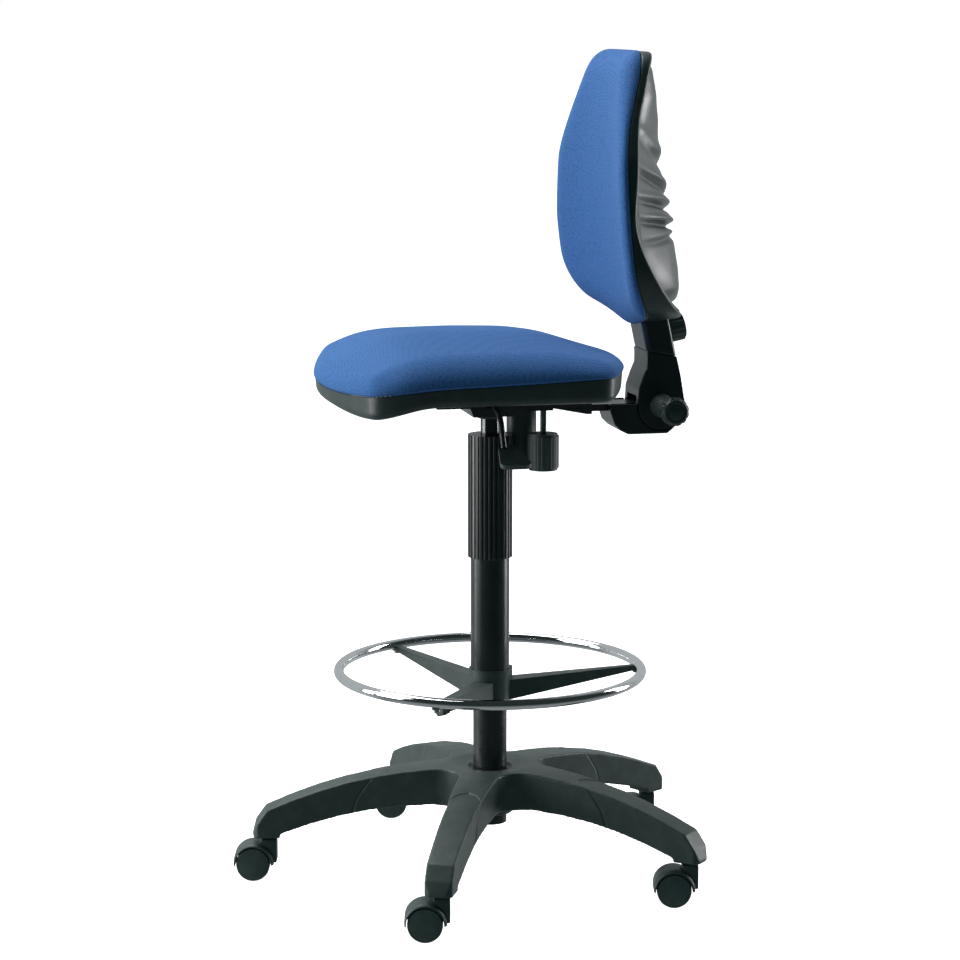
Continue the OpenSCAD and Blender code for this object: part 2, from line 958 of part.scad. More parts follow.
module height_bar() {
    color(steel)
        union() {
            in_upright() translate([0, 0, -30]) linear_extrude(200) strip_slot();
            difference() {
                translate([-34, 200, 905]) cube([68, 32, 44]);
                back_layer(-40, pad_t + board_t + floor_t);
            }
        }
}

module back_board() {
    color("burlywood")
        difference() {
            intersection() {
                back_layer(pad_t, pad_t + board_t);
                pear_prism(rim_wall);
            }
            upright_passage();
        }
}

module back_shell() {
    floor_a = pad_t + board_t;
    color(black)
        difference() {
            intersection() {
                back_layer(pad_t, 0, true);
                pear_prism();
            }
            intersection() {
                back_layer(-40, floor_a);
                pear_prism(rim_wall);
            }
            intersection() {
                back_layer(floor_a + floor_t, 60, true);
                pear_prism(rim_wall);
            }
            upright_passage();
        }
}

module back_cushion() {
    color(blue)
        intersection() {
            back_layer(0, pad_t);
            pear_prism();
        }
}

// Pillow-shaped soft cover: flat pear behind, tapering to a narrower bulge over the upright
module cover_form(skin) {
    hull() {
        along_y(160, 164) pear(5 + skin);
        along_y(230, 240 - skin) {
            translate([-48, 1163]) circle(r = 30 - skin, $fn = 32);
            translate([48, 1163]) circle(r = 30 - skin, $fn = 32);
        }
        along_y(250, 256 - skin) translate([0, 1040]) circle(r = 60 - skin, $fn = 32);
        along_y(260, 284 - skin) {
            translate([-24, 893]) circle(r = 44 - skin, $fn = 32);
            translate([24, 893]) circle(r = 44 - skin, $fn = 32);
        }
    }
}

module back_cover() {
    color([0.35, 0.36, 0.38])
        difference() {
            cover_form(0);
            cover_form(2.5);
            back_layer(-60, 0, true);
            upright_passage();
        }
}

star_base();
caster_sockets();
gas_tube();
tube_guide();
smooth_sleeve();
piston_rod();
rod_bearing();
rod_clip();
caster_hood(1);  // caster_hood_1
caster_pins(1);  // caster_pins_1
wheel(1, -1);  // wheel_left_1
wheel(1, 1);  // wheel_right_1
caster_hood(2);  // caster_hood_2
caster_pins(2);  // caster_pins_2
wheel(2, -1);  // wheel_left_2
wheel(2, 1);  // wheel_right_2
caster_hood(3);  // caster_hood_3
caster_pins(3);  // caster_pins_3
wheel(3, -1);  // wheel_left_3
wheel(3, 1);  // wheel_right_3
caster_hood(4);  // caster_hood_4
caster_pins(4);  // caster_pins_4
wheel(4, -1);  // wheel_left_4
wheel(4, 1);  // wheel_right_4
caster_hood(5);  // caster_hood_5
caster_pins(5);  // caster_pins_5
wheel(5, -1);  // wheel_left_5
wheel(5, 1);  // wheel_right_5
ring_spider();
foot_ring();
ring_rivets();
ring_clamp_knob();
ribbed_sleeve();
gas_cylinder();
valve_button();
tilt_housing();
tilt_pin();
tilt_spring();
spring_cup();
tension_knob();
lift_lever();
lift_paddle();
seat_plate();
seat_board();
seat_shell();
seat_cushion();
seat_screws();
back_bar();
bar_cover();
upright_boot();
upright_sleeve();
recline_bolt();
recline_collar();
recline_knob();
height_knob();
height_bar();
back_board();
back_shell();
back_cushion();
back_cover();
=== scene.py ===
"""Drafting chair: the visual model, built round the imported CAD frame. Metres, in the CAD frame."""

import json
import math

import bmesh
import bpy
from mathutils import Matrix, Vector, noise
from mathutils.bvhtree import BVHTree
from mathutils.geometry import convex_hull_2d


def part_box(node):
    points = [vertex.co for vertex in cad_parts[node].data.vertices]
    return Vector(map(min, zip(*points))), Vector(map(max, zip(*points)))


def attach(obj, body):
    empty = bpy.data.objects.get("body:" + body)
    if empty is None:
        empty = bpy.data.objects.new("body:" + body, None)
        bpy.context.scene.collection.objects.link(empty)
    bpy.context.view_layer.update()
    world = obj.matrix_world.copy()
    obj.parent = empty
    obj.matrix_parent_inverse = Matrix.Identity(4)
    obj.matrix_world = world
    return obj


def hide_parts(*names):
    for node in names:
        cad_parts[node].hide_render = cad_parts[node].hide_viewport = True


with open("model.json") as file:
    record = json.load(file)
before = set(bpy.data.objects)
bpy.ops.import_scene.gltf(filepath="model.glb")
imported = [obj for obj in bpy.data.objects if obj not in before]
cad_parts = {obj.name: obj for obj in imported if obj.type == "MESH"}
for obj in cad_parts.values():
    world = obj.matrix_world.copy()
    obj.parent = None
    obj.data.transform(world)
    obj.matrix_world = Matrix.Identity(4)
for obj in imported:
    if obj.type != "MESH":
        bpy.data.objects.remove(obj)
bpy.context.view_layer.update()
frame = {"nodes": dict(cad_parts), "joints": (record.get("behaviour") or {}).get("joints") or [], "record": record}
NODES = frame["nodes"]
CASTERS = range(1, 6)
# The way that the camera looks, turned about +Z from looking along +Y, in degrees
CAMERA_TURN = 77.5
UP = Vector((0, 0, 1))
BODIES = frame["record"]["behaviour"]["bodies"]
BODY_OF = {node: body for body, nodes in BODIES.items() for node in nodes}


# ---------- mesh helpers ----------


def build(name, points, faces):
    """A smooth-shaded mesh object with its normals pointing outwards."""
    mesh = bpy.data.meshes.new(name)
    mesh.from_pydata([tuple(p) for p in points], [], faces)
    bm = bmesh.new()
    bm.from_mesh(mesh)
    bmesh.ops.remove_doubles(bm, verts=bm.verts, dist=1e-6)
    bmesh.ops.recalc_face_normals(bm, faces=bm.faces)
    bm.to_mesh(mesh)
    bm.free()
    mesh.polygons.foreach_set("use_smooth", [True] * len(mesh.polygons))
    obj = bpy.data.objects.new(name, mesh)
    bpy.context.scene.collection.objects.link(obj)
    return obj


def lattice(rings, closed=True, first=0):
    """Quads between successive rings of equally many points."""
    n = len(rings[0])
    across = n if closed else n - 1
    faces = []
    for k in range(len(rings) - 1):
        here = first + k * n
        after = here + n
        for i in range(across):
            j = (i + 1) % n
            faces.append((here + i, here + j, after + j, after + i))
    return faces


def loft(name, rings, caps=(True, True)):
    """A skin through rings of points, closed at its ends by fans to their middles."""
    n = len(rings[0])
    points = [p for ring in rings for p in ring]
    faces = lattice(rings)
    for cap, ring, base in zip(caps, (rings[0], rings[-1]), (0, (len(rings) - 1) * n)):
        if cap:
            middle = sum(ring, Vector()) / n
            faces += [(base + i, base + (i + 1) % n, len(points)) for i in range(n)]
            points.append(middle)
    return build(name, points, faces)


def frames_along(path):
    """A (point, side, up) triple at each point of a path, turning as little as possible."""
    out = []
    side = None
    for i, p in enumerate(path):
        ahead = (path[min(i + 1, len(path) - 1)] - path[max(i - 1, 0)]).normalized()
        if side is None:
            side = ahead.orthogonal().normalized()
        side = (side - ahead * side.dot(ahead)).normalized()
        out.append((p, side, ahead.cross(side)))
    return out


def swept(name, path, radii, sides=20):
    """A round bar along a path, with one radius per point."""
    rings = []
    for (p, a, b), r in zip(frames_along(path), radii):
        turn = [2 * math.pi * i / sides for i in range(sides)]
        rings.append([p + a * (r * math.cos(t)) + b * (r * math.sin(t)) for t in turn])
    return loft(name, rings)


def turned(name, profile, sides=64, flute=None):
    """A solid of revolution about +Z from (radius, height) pairs, reshaped by flute(angle, radius)."""
    rings = []
    for r, z in profile:
        ring = []
        for i in range(sides):
            t = 2 * math.pi * i / sides
            q = flute(t, r) if flute else r
            ring.append(Vector((q * math.cos(t), q * math.sin(t), z)))
        rings.append(ring)
    return loft(name, rings)


def place(obj, matrix):
    """Moves the mesh itself, so that its coordinates stay the frame's."""
    obj.data.transform(matrix)
    return obj


def to_axis(origin, direction):
    """The matrix that puts a +Z shape at origin, pointing along direction."""
    turn = Vector(direction).to_track_quat("Z", "Y").to_matrix().to_4x4()
    return Matrix.Translation(origin) @ turn


def join(name, objects):
    """One object from several, in the order given."""
    bm = bmesh.new()
    for o in objects:
        bm.from_mesh(o.data)
    mesh = bpy.data.meshes.new(name)
    bm.to_mesh(mesh)
    bm.free()
    for o in objects:
        bpy.data.objects.remove(o)
    obj = bpy.data.objects.new(name, mesh)
    bpy.context.scene.collection.objects.link(obj)
    return obj


def subdivide(obj, levels=1):
    """Smooths a piece by subdivision."""
    mod = obj.modifiers.new("Smooth", "SUBSURF")
    mod.levels = levels
    mod.render_levels = levels
    return obj


def soften(obj, width, angle=32, segments=2):
    """Rounds the edges of a hard piece and shades it without dark seams."""
    bevel = obj.modifiers.new("Edges", "BEVEL")
    bevel.width = width
    bevel.segments = segments
    bevel.limit_method = "ANGLE"
    bevel.angle_limit = math.radians(angle)
    bevel.miter_outer = "MITER_ARC"
    bevel.harden_normals = True
    return obj


def skin_of(node):
    """The surface of a CAD node, for ray casts."""
    mesh = NODES[node].data
    mesh.calc_loop_triangles()
    points = [v.co.copy() for v in mesh.vertices]
    return BVHTree.FromPolygons(points, [tuple(t.vertices) for t in mesh.loop_triangles])


def hit(tree, start, direction):
    """The first point of a surface met from start, or None."""
    return tree.ray_cast(Vector(start), Vector(direction))[0]


def outline(node, axes, count):
    """The convex outline of a CAD node seen along one axis, as evenly spaced, slightly smoothed points."""
    flat = [Vector((v.co[axes[0]], v.co[axes[1]])) for v in NODES[node].data.vertices]
    rim = [flat[i] for i in convex_hull_2d(flat)]
    area = sum(a.x * b.y - b.x * a.y for a, b in zip(rim, rim[1:] + rim[:1]))
    if area < 0:
        rim.reverse()
    lengths = [(b - a).length for a, b in zip(rim, rim[1:] + rim[:1])]
    step = sum(lengths) / count
    out = []
    k = 0
    passed = 0.0
    for i in range(count):
        while passed + lengths[k] < i * step:
            passed += lengths[k]
            k += 1
        out.append(rim[k].lerp(rim[(k + 1) % len(rim)], (i * step - passed) / lengths[k]))
    for _ in range(3):
        out = [(out[i - 1] + out[i] * 2 + out[(i + 1) % count]) / 4 for i in range(count)]
    return out


def inward(rim):
    """The unit vector into a counter-clockwise outline at each of its points."""
    n = len(rim)
    out = []
    for i in range(n):
        along = (rim[(i + 1) % n] - rim[i - 1]).normalized()
        out.append(Vector((-along.y, along.x)))
    return out


def between(table, x):
    """Linear interpolation in a list of (x, value) sorted by x."""
    if x <= table[0][0]:
        return table[0][1]
    for (x0, v0), (x1, v1) in zip(table, table[1:]):
        if x <= x1:
            return v0 + (v1 - v0) * (x - x0) / (x1 - x0)
    return table[-1][1]


def averaged(table, reach):
    """The table smoothed by a running mean over 2 * reach + 1 entries, twice."""
    for _ in range(2):
        values = [v for _, v in table]
        means = []
        for i in range(len(values)):
            nearby = values[max(0, i - reach) : i + reach + 1]
            means.append(sum(nearby) / len(nearby))
        table = [(x, mean) for (x, _), mean in zip(table, means)]
    return table


def rounded(t):
    """A quarter circle: 0 at t = 0, rising steeply, level at 1."""
    t = min(max(t, 0.0), 1.0)
    return math.sqrt(1 - (1 - t) ** 2)


def bump(x, middle, width):
    """A bell curve: 1 at the middle, falling to 1/e at width."""
    return math.exp(-(((x - middle) / width) ** 2))


def step(x, low, high):
    """A smooth step from 0 at low to 1 at high."""
    t = min(max((x - low) / (high - low), 0.0), 1.0)
    return t * t * (3 - 2 * t)


# ---------- materials ----------


class Finish:
    """A procedural material in the making. Its patterns read object coordinates, which are the frame's."""

    def __init__(self, name, colour, roughness, **constants):
        self.mat = bpy.data.materials.new(name)
        self.mat.use_nodes = True
        self.tree = self.mat.node_tree
        self.shader = self.tree.nodes["Principled BSDF"]
        self.shader.inputs["Base Color"].default_value = (*colour, 1)
        self.shader.inputs["Roughness"].default_value = roughness
        for key, value in constants.items():
            self.shader.inputs[key.replace("_", " ")].default_value = value
        self.where = self.node("ShaderNodeTexCoord").outputs["Object"]
        self.normal = None

    def node(self, kind, inputs=(), **settings):
        made = self.tree.nodes.new(kind)
        for key, value in settings.items():
            setattr(made, key, value)
        for key, value in dict(inputs).items():
            self.feed(made.inputs[key], value)
        return made

    def feed(self, socket, value):
        if isinstance(value, bpy.types.NodeSocket):
            self.tree.links.new(value, socket)
        else:
            socket.default_value = value

    def noise(self, scale, detail=3.0, rough=0.55, where=None):
        inputs = {"Vector": where or self.where, "Scale": scale, "Detail": detail, "Roughness": rough}
        return self.node("ShaderNodeTexNoise", inputs).outputs["Fac"]

    def cells(self, scale, where=None, feature="F1"):
        inputs = {"Vector": where or self.where, "Scale": scale}
        return self.node("ShaderNodeTexVoronoi", inputs, feature=feature).outputs["Distance"]

    def scaled(self, factors, turn=(0, 0, 0)):
        inputs = {"Vector": self.where, "Scale": factors, "Rotation": turn}
        return self.node("ShaderNodeMapping", inputs).outputs["Vector"]

    def calc(self, operation, a, b=0.0):
        return self.node("ShaderNodeMath", {0: a, 1: b}, operation=operation).outputs[0]

    def spread(self, value, low, high, start, end):
        """Maps value from low..high to start..end, held at both ends."""
        inputs = {"Value": value, "From Min": low, "From Max": high, "To Min": start, "To Max": end}
        return self.node("ShaderNodeMapRange", inputs).outputs["Result"]

    def blended(self, share, a, b):
        mix = self.node("ShaderNodeMix", data_type="RGBA")
        self.feed(mix.inputs["Factor"], share)
        for socket, value in zip((mix.inputs[6], mix.inputs[7]), (a, b)):
            self.feed(socket, (*value, 1) if isinstance(value, tuple) else value)
        return mix.outputs[2]

    def colour(self, value):
        self.feed(self.shader.inputs["Base Color"], value)

    def rough(self, value):
        self.feed(self.shader.inputs["Roughness"], value)

    def relief(self, height, depth, strength=1.0):
        """Adds a bump layer, depth in metres, on top of those before it."""
        inputs = {"Height": height, "Distance": depth, "Strength": strength}
        if self.normal:
            inputs["Normal"] = self.normal
        self.normal = self.node("ShaderNodeBump", inputs).outputs["Normal"]
        self.feed(self.shader.inputs["Normal"], self.normal)


def moulded(name, colour, roughness, grain, depth, dust=0.08):
    """Moulded plastic: eroded grain, faint dust and handling marks, and slow waves from shrinkage."""
    f = Finish(name, colour, roughness)
    marks = f.noise(9.0, 4.0)
    dusty = tuple(min(1.0, c * 1.6 + 0.012) for c in colour)
    f.colour(f.blended(f.spread(f.noise(38.0, 5.0, 0.65), 0.42, 0.75, 0.0, dust * 6), colour, dusty))
    f.rough(f.spread(marks, 0.3, 0.7, roughness - 0.05, roughness + 0.07))
    f.relief(f.noise(14.0, 2.0), 0.0012, 0.25)
    f.relief(f.cells(grain), depth, 0.6)
    return f.mat


def glossy(name, colour, roughness):
    """Polished black plastic with hairline handling scratches."""
    f = Finish(name, colour, roughness, Coat_Weight=0.2, Coat_Roughness=0.2)
    scratches = f.noise(55.0, 6.0, 0.7, f.scaled((22, 22, 1.0)))
    f.rough(f.spread(scratches, 0.35, 0.75, roughness, roughness + 0.14))
    f.colour(f.blended(f.spread(f.noise(26.0, 4.0), 0.4, 0.8, 0.0, 0.5), colour, (0.03, 0.036, 0.036)))
    f.relief(f.noise(900.0, 2.0), 0.00003, 0.5)
    return f.mat


def enamelled(name, colour, roughness):
    """Powder-coated steel: orange peel and a little wear."""
    f = Finish(name, colour, roughness, Specular_IOR_Level=0.9)
    f.relief(f.noise(420.0, 2.5), 0.00006, 0.4)
    chips = f.spread(f.noise(70.0, 6.0, 0.7), 0.62, 0.72, 0.0, 0.6)
    f.colour(f.blended(chips, colour, (0.075, 0.08, 0.078)))
    f.rough(f.spread(f.noise(24.0, 4.0), 0.3, 0.7, roughness - 0.06, roughness + 0.1))
    return f.mat


def metal(name, colour, roughness, brushed=0.0):
    """Plated or plain steel, with smudges and, if brushed, fine lines round the vertical."""
    f = Finish(name, colour, roughness, Metallic=1.0)
    smudge = f.noise(31.0, 5.0, 0.6)
    f.rough(f.spread(smudge, 0.4, 0.75, roughness, roughness + 0.09))
    f.colour(f.blended(f.spread(smudge, 0.45, 0.8, 0.0, 0.5), colour, tuple(c * 0.78 for c in colour)))
    f.relief(f.noise(260.0, 2.0), 0.00001 + brushed * 0.00004, 0.4)
    if brushed:
        f.relief(f.noise(60.0, 4.0, 0.7, f.scaled((3, 3, 40))), 0.00003, brushed)
    return f.mat


def upholstery(name):
    """Blue woven polyester: a fine diagonal weave, flecks of lighter and violet yarn, and a soft sheen."""
    f = Finish(name, (0.032, 0.117, 0.305), 0.92, Sheen_Weight=0.06, Sheen_Roughness=0.5)
    f.shader.inputs["Sheen Tint"].default_value = (0.4, 0.7, 1.0, 1)
    f.shader.inputs["Specular IOR Level"].default_value = 0.12
    pitch = 2 * math.pi / 0.0036
    turned_by = f.scaled((pitch, pitch, pitch), (0.62, 0.47, 0.785))
    axes = f.node("ShaderNodeSeparateXYZ", {0: turned_by}).outputs
    waves = []
    for a, b in ((0, 1), (1, 2), (2, 0)):
        waves.append(f.calc("MULTIPLY", f.calc("SINE", axes[a]), f.calc("COSINE", axes[b])))
    weave = f.calc("ADD", f.calc("ADD", waves[0], waves[1]), waves[2])
    yarn = f.noise(1500.0, 2.0)
    fleck = f.noise(300.0, 3.0, 0.65)
    cloud = f.noise(7.0, 3.0)
    deep, mid, light = (0.014, 0.070, 0.205), (0.032, 0.115, 0.298), (0.066, 0.170, 0.40)
    violet = (0.072, 0.105, 0.31)
    base = f.blended(f.spread(weave, -0.9, 0.9, 0.0, 1.0), deep, light)
    base = f.blended(0.6, base, mid)
    base = f.blended(f.spread(fleck, 0.51, 0.62, 0.0, 0.75), base, violet)
    base = f.blended(f.spread(fleck, 0.36, 0.48, 0.75, 0.0), base, deep)
    base = f.blended(f.spread(yarn, 0.5, 0.8, 0.0, 0.35), base, light)
    f.colour(f.blended(f.spread(cloud, 0.35, 0.7, 0.0, 0.22), base, mid))
    f.rough(f.spread(fleck, 0.3, 0.7, 0.85, 0.97))
    f.relief(f.noise(22.0, 3.0), 0.0006, 0.3)
    f.relief(weave, 0.00012, 0.45)
    f.relief(yarn, 0.00008, 0.6)
    return f.mat


def rear_vinyl(name):
    """Supple grey coated cloth: fine leather grain and a broad, silky shine."""
    f = Finish(name, (0.035, 0.045, 0.048), 0.34, Coat_Weight=0.4, Coat_Roughness=0.22)
    grain = f.cells(620.0)
    pores = f.noise(240.0, 4.0, 0.6)
    shade = f.blended(f.spread(pores, 0.35, 0.7, 0.0, 1.0), (0.030, 0.040, 0.042), (0.050, 0.062, 0.066))
    f.colour(f.blended(f.spread(f.noise(8.0, 3.0), 0.35, 0.7, 0.0, 0.35), shade, (0.026, 0.036, 0.038)))
    f.rough(f.spread(pores, 0.3, 0.7, 0.30, 0.36))
    f.relief(f.noise(30.0, 3.0), 0.0005, 0.25)
    f.relief(grain, 0.00003, 0.35)
    return f.mat


def plywood(name):
    """Birch plywood: pale veneer with long grain."""
    f = Finish(name, (0.5, 0.34, 0.19), 0.6)
    rings = f.noise(18.0, 6.0, 0.65, f.scaled((1, 12, 30)))
    f.colour(f.blended(f.spread(rings, 0.3, 0.7, 0.0, 1.0), (0.55, 0.39, 0.22), (0.36, 0.22, 0.11)))
    f.relief(rings, 0.0002, 0.6)
    return f.mat


def make_finishes():
    return {
        "black_nylon": moulded("black_nylon", (0.040, 0.060, 0.055), 0.43, 800.0, 0.0001),
        "black_wheel": moulded("black_wheel", (0.050, 0.072, 0.066), 0.36, 1500.0, 0.00005, 0.11),
        "black_shell": moulded("black_shell", (0.016, 0.031, 0.029), 0.4, 560.0, 0.00016),
        "black_gloss": glossy("black_gloss", (0.007, 0.016, 0.0165), 0.27),
        "black_enamel": enamelled("black_enamel", (0.014, 0.020, 0.019), 0.26),
        "grey_acetal": moulded("grey_acetal", (0.28, 0.29, 0.3), 0.45, 1200.0, 0.00005),
        "bright_steel": metal("bright_steel", (0.55, 0.56, 0.57), 0.28, 0.5),
        "dark_gas_cylinder": metal("dark_gas_cylinder", (0.09, 0.095, 0.1), 0.16),
        "chrome_tube": metal("chrome_tube", (0.86, 0.87, 0.88), 0.05),
        "blue_fabric": upholstery("blue_fabric"),
        "plywood": plywood("plywood"),
        "rear_vinyl": rear_vinyl("rear_vinyl"),
    }


FINISHES = make_finishes()


def finish(obj, body, slot, *nodes, look=None):
    """Gives a new piece its material (its slot's, or another look), its body and the nodes it replaces."""
    obj.data.materials.clear()
    obj.data.materials.append(FINISHES[look or slot])
    if body:
        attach(obj, body)
    if nodes:
        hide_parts(*nodes)
    return obj


def dress_cad_nodes():
    """Every CAD node takes the procedural material of its slot in the record."""
    for entry in frame["record"]["subparts"]:
        mesh = NODES[entry["node"]].data
        mesh.materials.clear()
        mesh.materials.append(FINISHES[entry["material_slot"]])


# ---------- forms built from rings ----------

RIM_POINTS = 240
# How far each of a cushion's rings is drawn in: close together at the edge, then in even steps to the middle
EDGE_SHARES = [0.0, 0.0022, 0.006, 0.012, 0.019, 0.029, 0.042, 0.058, 0.078, 0.102]
EDGE_SHARES += [0.13, 0.162, 0.2, 0.243, 0.292]
CUSHION_SHARES = EDGE_SHARES + [0.345 + 0.64 * k / 16 for k in range(17)]
LAST_SHARE = 0.985


def ring_at(rim, normals, inset, lift):
    """The outline moved inwards by inset, with lift(point, normal) giving each point's place in space."""
    return [lift(p + n * inset, n) for p, n in zip(rim, normals)]


def shrunk(rim, normals, middle, share, proud, lift):
    """The outline drawn in to the middle by share, with lift(point, depth, normal) placing each point."""
    ring = []
    for p, n in zip(rim, normals):
        q = p.lerp(middle, share)
        ring.append(lift(q - n * proud * (1 - share), (q - p).dot(n), n))
    return ring


def filled(rim, normals, start, middle, steps, lift):
    """Rings from an inset outline to a small one round the middle, outermost first."""
    rings = []
    for k in range(steps + 1):
        share = start + (LAST_SHARE - start) * k / steps
        rings.append(shrunk(rim, normals, middle, share, 0, lambda q, depth, n: lift(q, n)))
    return rings


def remeshed(name, node, voxel, rounds):
    """A CAD node's shape with its edges melted round, as a moulding's are."""
    source = bpy.data.objects.new(name + "_source", NODES[node].data.copy())
    bpy.context.scene.collection.objects.link(source)
    remesh = source.modifiers.new("Remesh", "REMESH")
    remesh.mode = "VOXEL"
    remesh.voxel_size = voxel
    smooth = source.modifiers.new("Smooth", "SMOOTH")
    smooth.factor = 0.5
    smooth.iterations = rounds
    graph = bpy.context.evaluated_depsgraph_get()
    mesh = bpy.data.meshes.new_from_object(source.evaluated_get(graph))
    bpy.data.objects.remove(source)
    mesh.name = name
    mesh.materials.clear()
    mesh.polygons.foreach_set("use_smooth", [True] * len(mesh.polygons))
    obj = bpy.data.objects.new(name, mesh)
    bpy.context.scene.collection.objects.link(obj)
    return obj


# ---------- seat ----------


class SeatPlan:
    """The seat's outline and its height lines, read from the CAD solids."""

    def __init__(self):
        low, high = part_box("seat_cushion")
        cushion = skin_of("seat_cushion")
        shell = skin_of("seat_shell")
        self.rim = outline("seat_cushion", (0, 1), RIM_POINTS)
        self.normals = inward(self.rim)
        self.half = max(p.x for p in self.rim)
        self.middle = Vector((0, (low.y + high.y) / 2))
        seam = []
        for p, n in zip(self.rim, self.normals):
            q = p + n * 0.0015
            met = hit(shell, (q.x, q.y, high.z), -UP)
            if p.x > 0 and met:
                seam.append((q.y, met.z))
        self.seam = averaged(sorted(seam), 3)
        steps = 90
        ys = [low.y + 0.001 + (high.y - low.y - 0.002) * k / steps for k in range(steps + 1)]
        self.crown = averaged([(y, hit(cushion, (0, y, high.z + 0.1), -UP).z) for y in ys], 3)
        self.floor = averaged([(y, hit(shell, (0, y, 0), UP).z) for y in ys], 2)


def make_seat_cushion(plan):
    """A crowned cushion: waterfall front, long slopes to the sides, and a tight wall down to the shell."""
    proud = 0.0022
    side_round = 0.056
    end_round = 0.012
    side_drop = 0.30
    underside = 0.7475

    def height(q, depth, along):
        base = between(plan.seam, q.y)
        top = between(plan.crown, q.y)
        reach = end_round + (side_round - end_round) * along.x**2
        across = math.sqrt((q.x / plan.half) ** 2 + 0.01) - 0.1
        return base + (top - base) * (1 - side_drop * across) * rounded(depth / reach)

    def on_top(q, depth, n):
        return Vector((q.x, q.y, max(between(plan.seam, q.y) + 0.0025, height(q, depth, n))))

    def beside_seam(rise):
        return lambda q, n: Vector((q.x, q.y, between(plan.seam, q.y) + rise))

    def under(q, n):
        return Vector((q.x, q.y, min(between(plan.seam, q.y) - 0.004, underside)))

    rim, normals = plan.rim, plan.normals
    rings = filled(rim, normals, 0.06, plan.middle, 4, under)[::-1]
    rings.append(ring_at(rim, normals, 0.006, beside_seam(-0.003)))
    rings.append(ring_at(rim, normals, 0.0026, beside_seam(-0.0016)))
    rings.append(ring_at(rim, normals, -0.0008, beside_seam(0.0008)))
    for share in CUSHION_SHARES:
        rings.append(shrunk(rim, normals, plan.middle, share, proud, on_top))
    return loft("seat_cushion_soft", rings)


def make_seat_shell(plan):
    """The seat's moulded pan: a thin lip under the fabric, a drafted wall and a rounded lower edge."""
    turn = 0.011

    def above(rise):
        return lambda q, n: Vector((q.x, q.y, between(plan.seam, q.y) + rise))

    def wall(share):
        def lift(q, n):
            top, low = between(plan.seam, q.y) - 0.0015, between(plan.floor, q.y)
            return Vector((q.x, q.y, top + (min(low + turn, top - 0.002) - top) * share))

        return lift

    def below(angle):
        def lift(q, n):
            low = between(plan.floor, q.y)
            top = between(plan.seam, q.y) - 0.0035
            return Vector((q.x, q.y, low + min(turn, top - low) * (1 - math.sin(angle))))

        return lift

    def floor(q, n):
        return Vector((q.x, q.y, between(plan.floor, q.y)))

    def inside(q, n):
        return Vector((q.x, q.y, between(plan.floor, q.y) + 0.003))

    rim, normals = plan.rim, plan.normals
    rings = filled(rim, normals, 0.06, plan.middle, 5, inside)[::-1]
    rings.append(ring_at(rim, normals, 0.004, above(-0.009)))
    rings.append(ring_at(rim, normals, 0.0036, above(-0.002)))
    rings.append(ring_at(rim, normals, 0.0028, above(-0.0006)))
    rings.append(ring_at(rim, normals, 0.0009, above(-0.0004)))
    rings.append(ring_at(rim, normals, 0.0001, above(-0.0014)))
    for k in range(5):
        rings.append(ring_at(rim, normals, 0.0001 + 0.0003 * k, wall(k / 4)))
    for k in range(1, 7):
        angle = math.pi / 2 * k / 6
        rings.append(ring_at(rim, normals, 0.0013 + turn * (1 - math.cos(angle)), below(angle)))
    rings += filled(rim, normals, 0.085, plan.middle, 12, floor)
    return loft("seat_shell_moulded", rings)


def make_seat_stitches(plan):
    """The stapled edge of the cover, which shows as a row of short pale threads behind and at the front."""
    behind, front, foremost = 0.118, -0.19, -0.232
    radii = (0.0004, 0.00055, 0.0004)
    parts = []
    n = len(plan.rim)
    for i in range(n):
        p, q = plan.rim[i], plan.rim[(i + 1) % n]
        if not (p.y > behind or foremost < p.y < front):
            continue
        ends = []
        for share in (0.22, 0.78):
            m = p.lerp(q, share) - plan.normals[i] * 0.0006
            ends.append(Vector((m.x, m.y, between(plan.seam, m.y) + 0.0002)))
        parts.append(swept("thread", [ends[0], (ends[0] + ends[1]) / 2, ends[1]], radii, 8))
    return join("seat_stitches", parts)


# ---------- backrest ----------


class BackPlan:
    """The backrest's outline, middle profile and the axis that it curves round, from the CAD solids."""

    def __init__(self):
        low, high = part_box("back_cushion")
        tree = skin_of("back_cushion")
        self.rim = outline("back_cushion", (0, 2), RIM_POINTS)
        self.normals = inward(self.rim)
        self.middle = Vector((0, (low.z + high.z) / 2))
        steps = 40
        zs = [low.z + 0.002 + (high.z - low.z - 0.004) * k / steps for k in range(steps + 1)]
        profile = [(z, hit(tree, (0, -1, z), (0, 1, 0)).y) for z in zs]
        z, y = profile[steps // 2]
        x = 0.12
        sag = y - hit(tree, (x, -1, z), (0, 1, 0)).y
        self.axis_y = y - (x * x + sag * sag) / (2 * sag)
        self.profile = averaged(profile, 2)

    def y_at(self, x, z, depth=0.0):
        """Y of the sheet that lies depth behind the backrest's face."""
        r = between(self.profile, z) - self.axis_y + depth
        return self.axis_y + math.sqrt(max(r * r - x * x, 0))

    def thick(self, z):
        """The pad's thickness, which grows a little towards the top and the foot."""
        return 0.018 + 0.010 * step(z, 1.08, 1.19) + 0.004 * (1 - step(z, 0.83, 0.90))

    def sheet(self, extra):
        """The sheet that lies extra behind the pad's back."""
        return lambda q, n: Vector((q.x, self.y_at(q.x, q.y, self.thick(q.y) + extra), q.y))


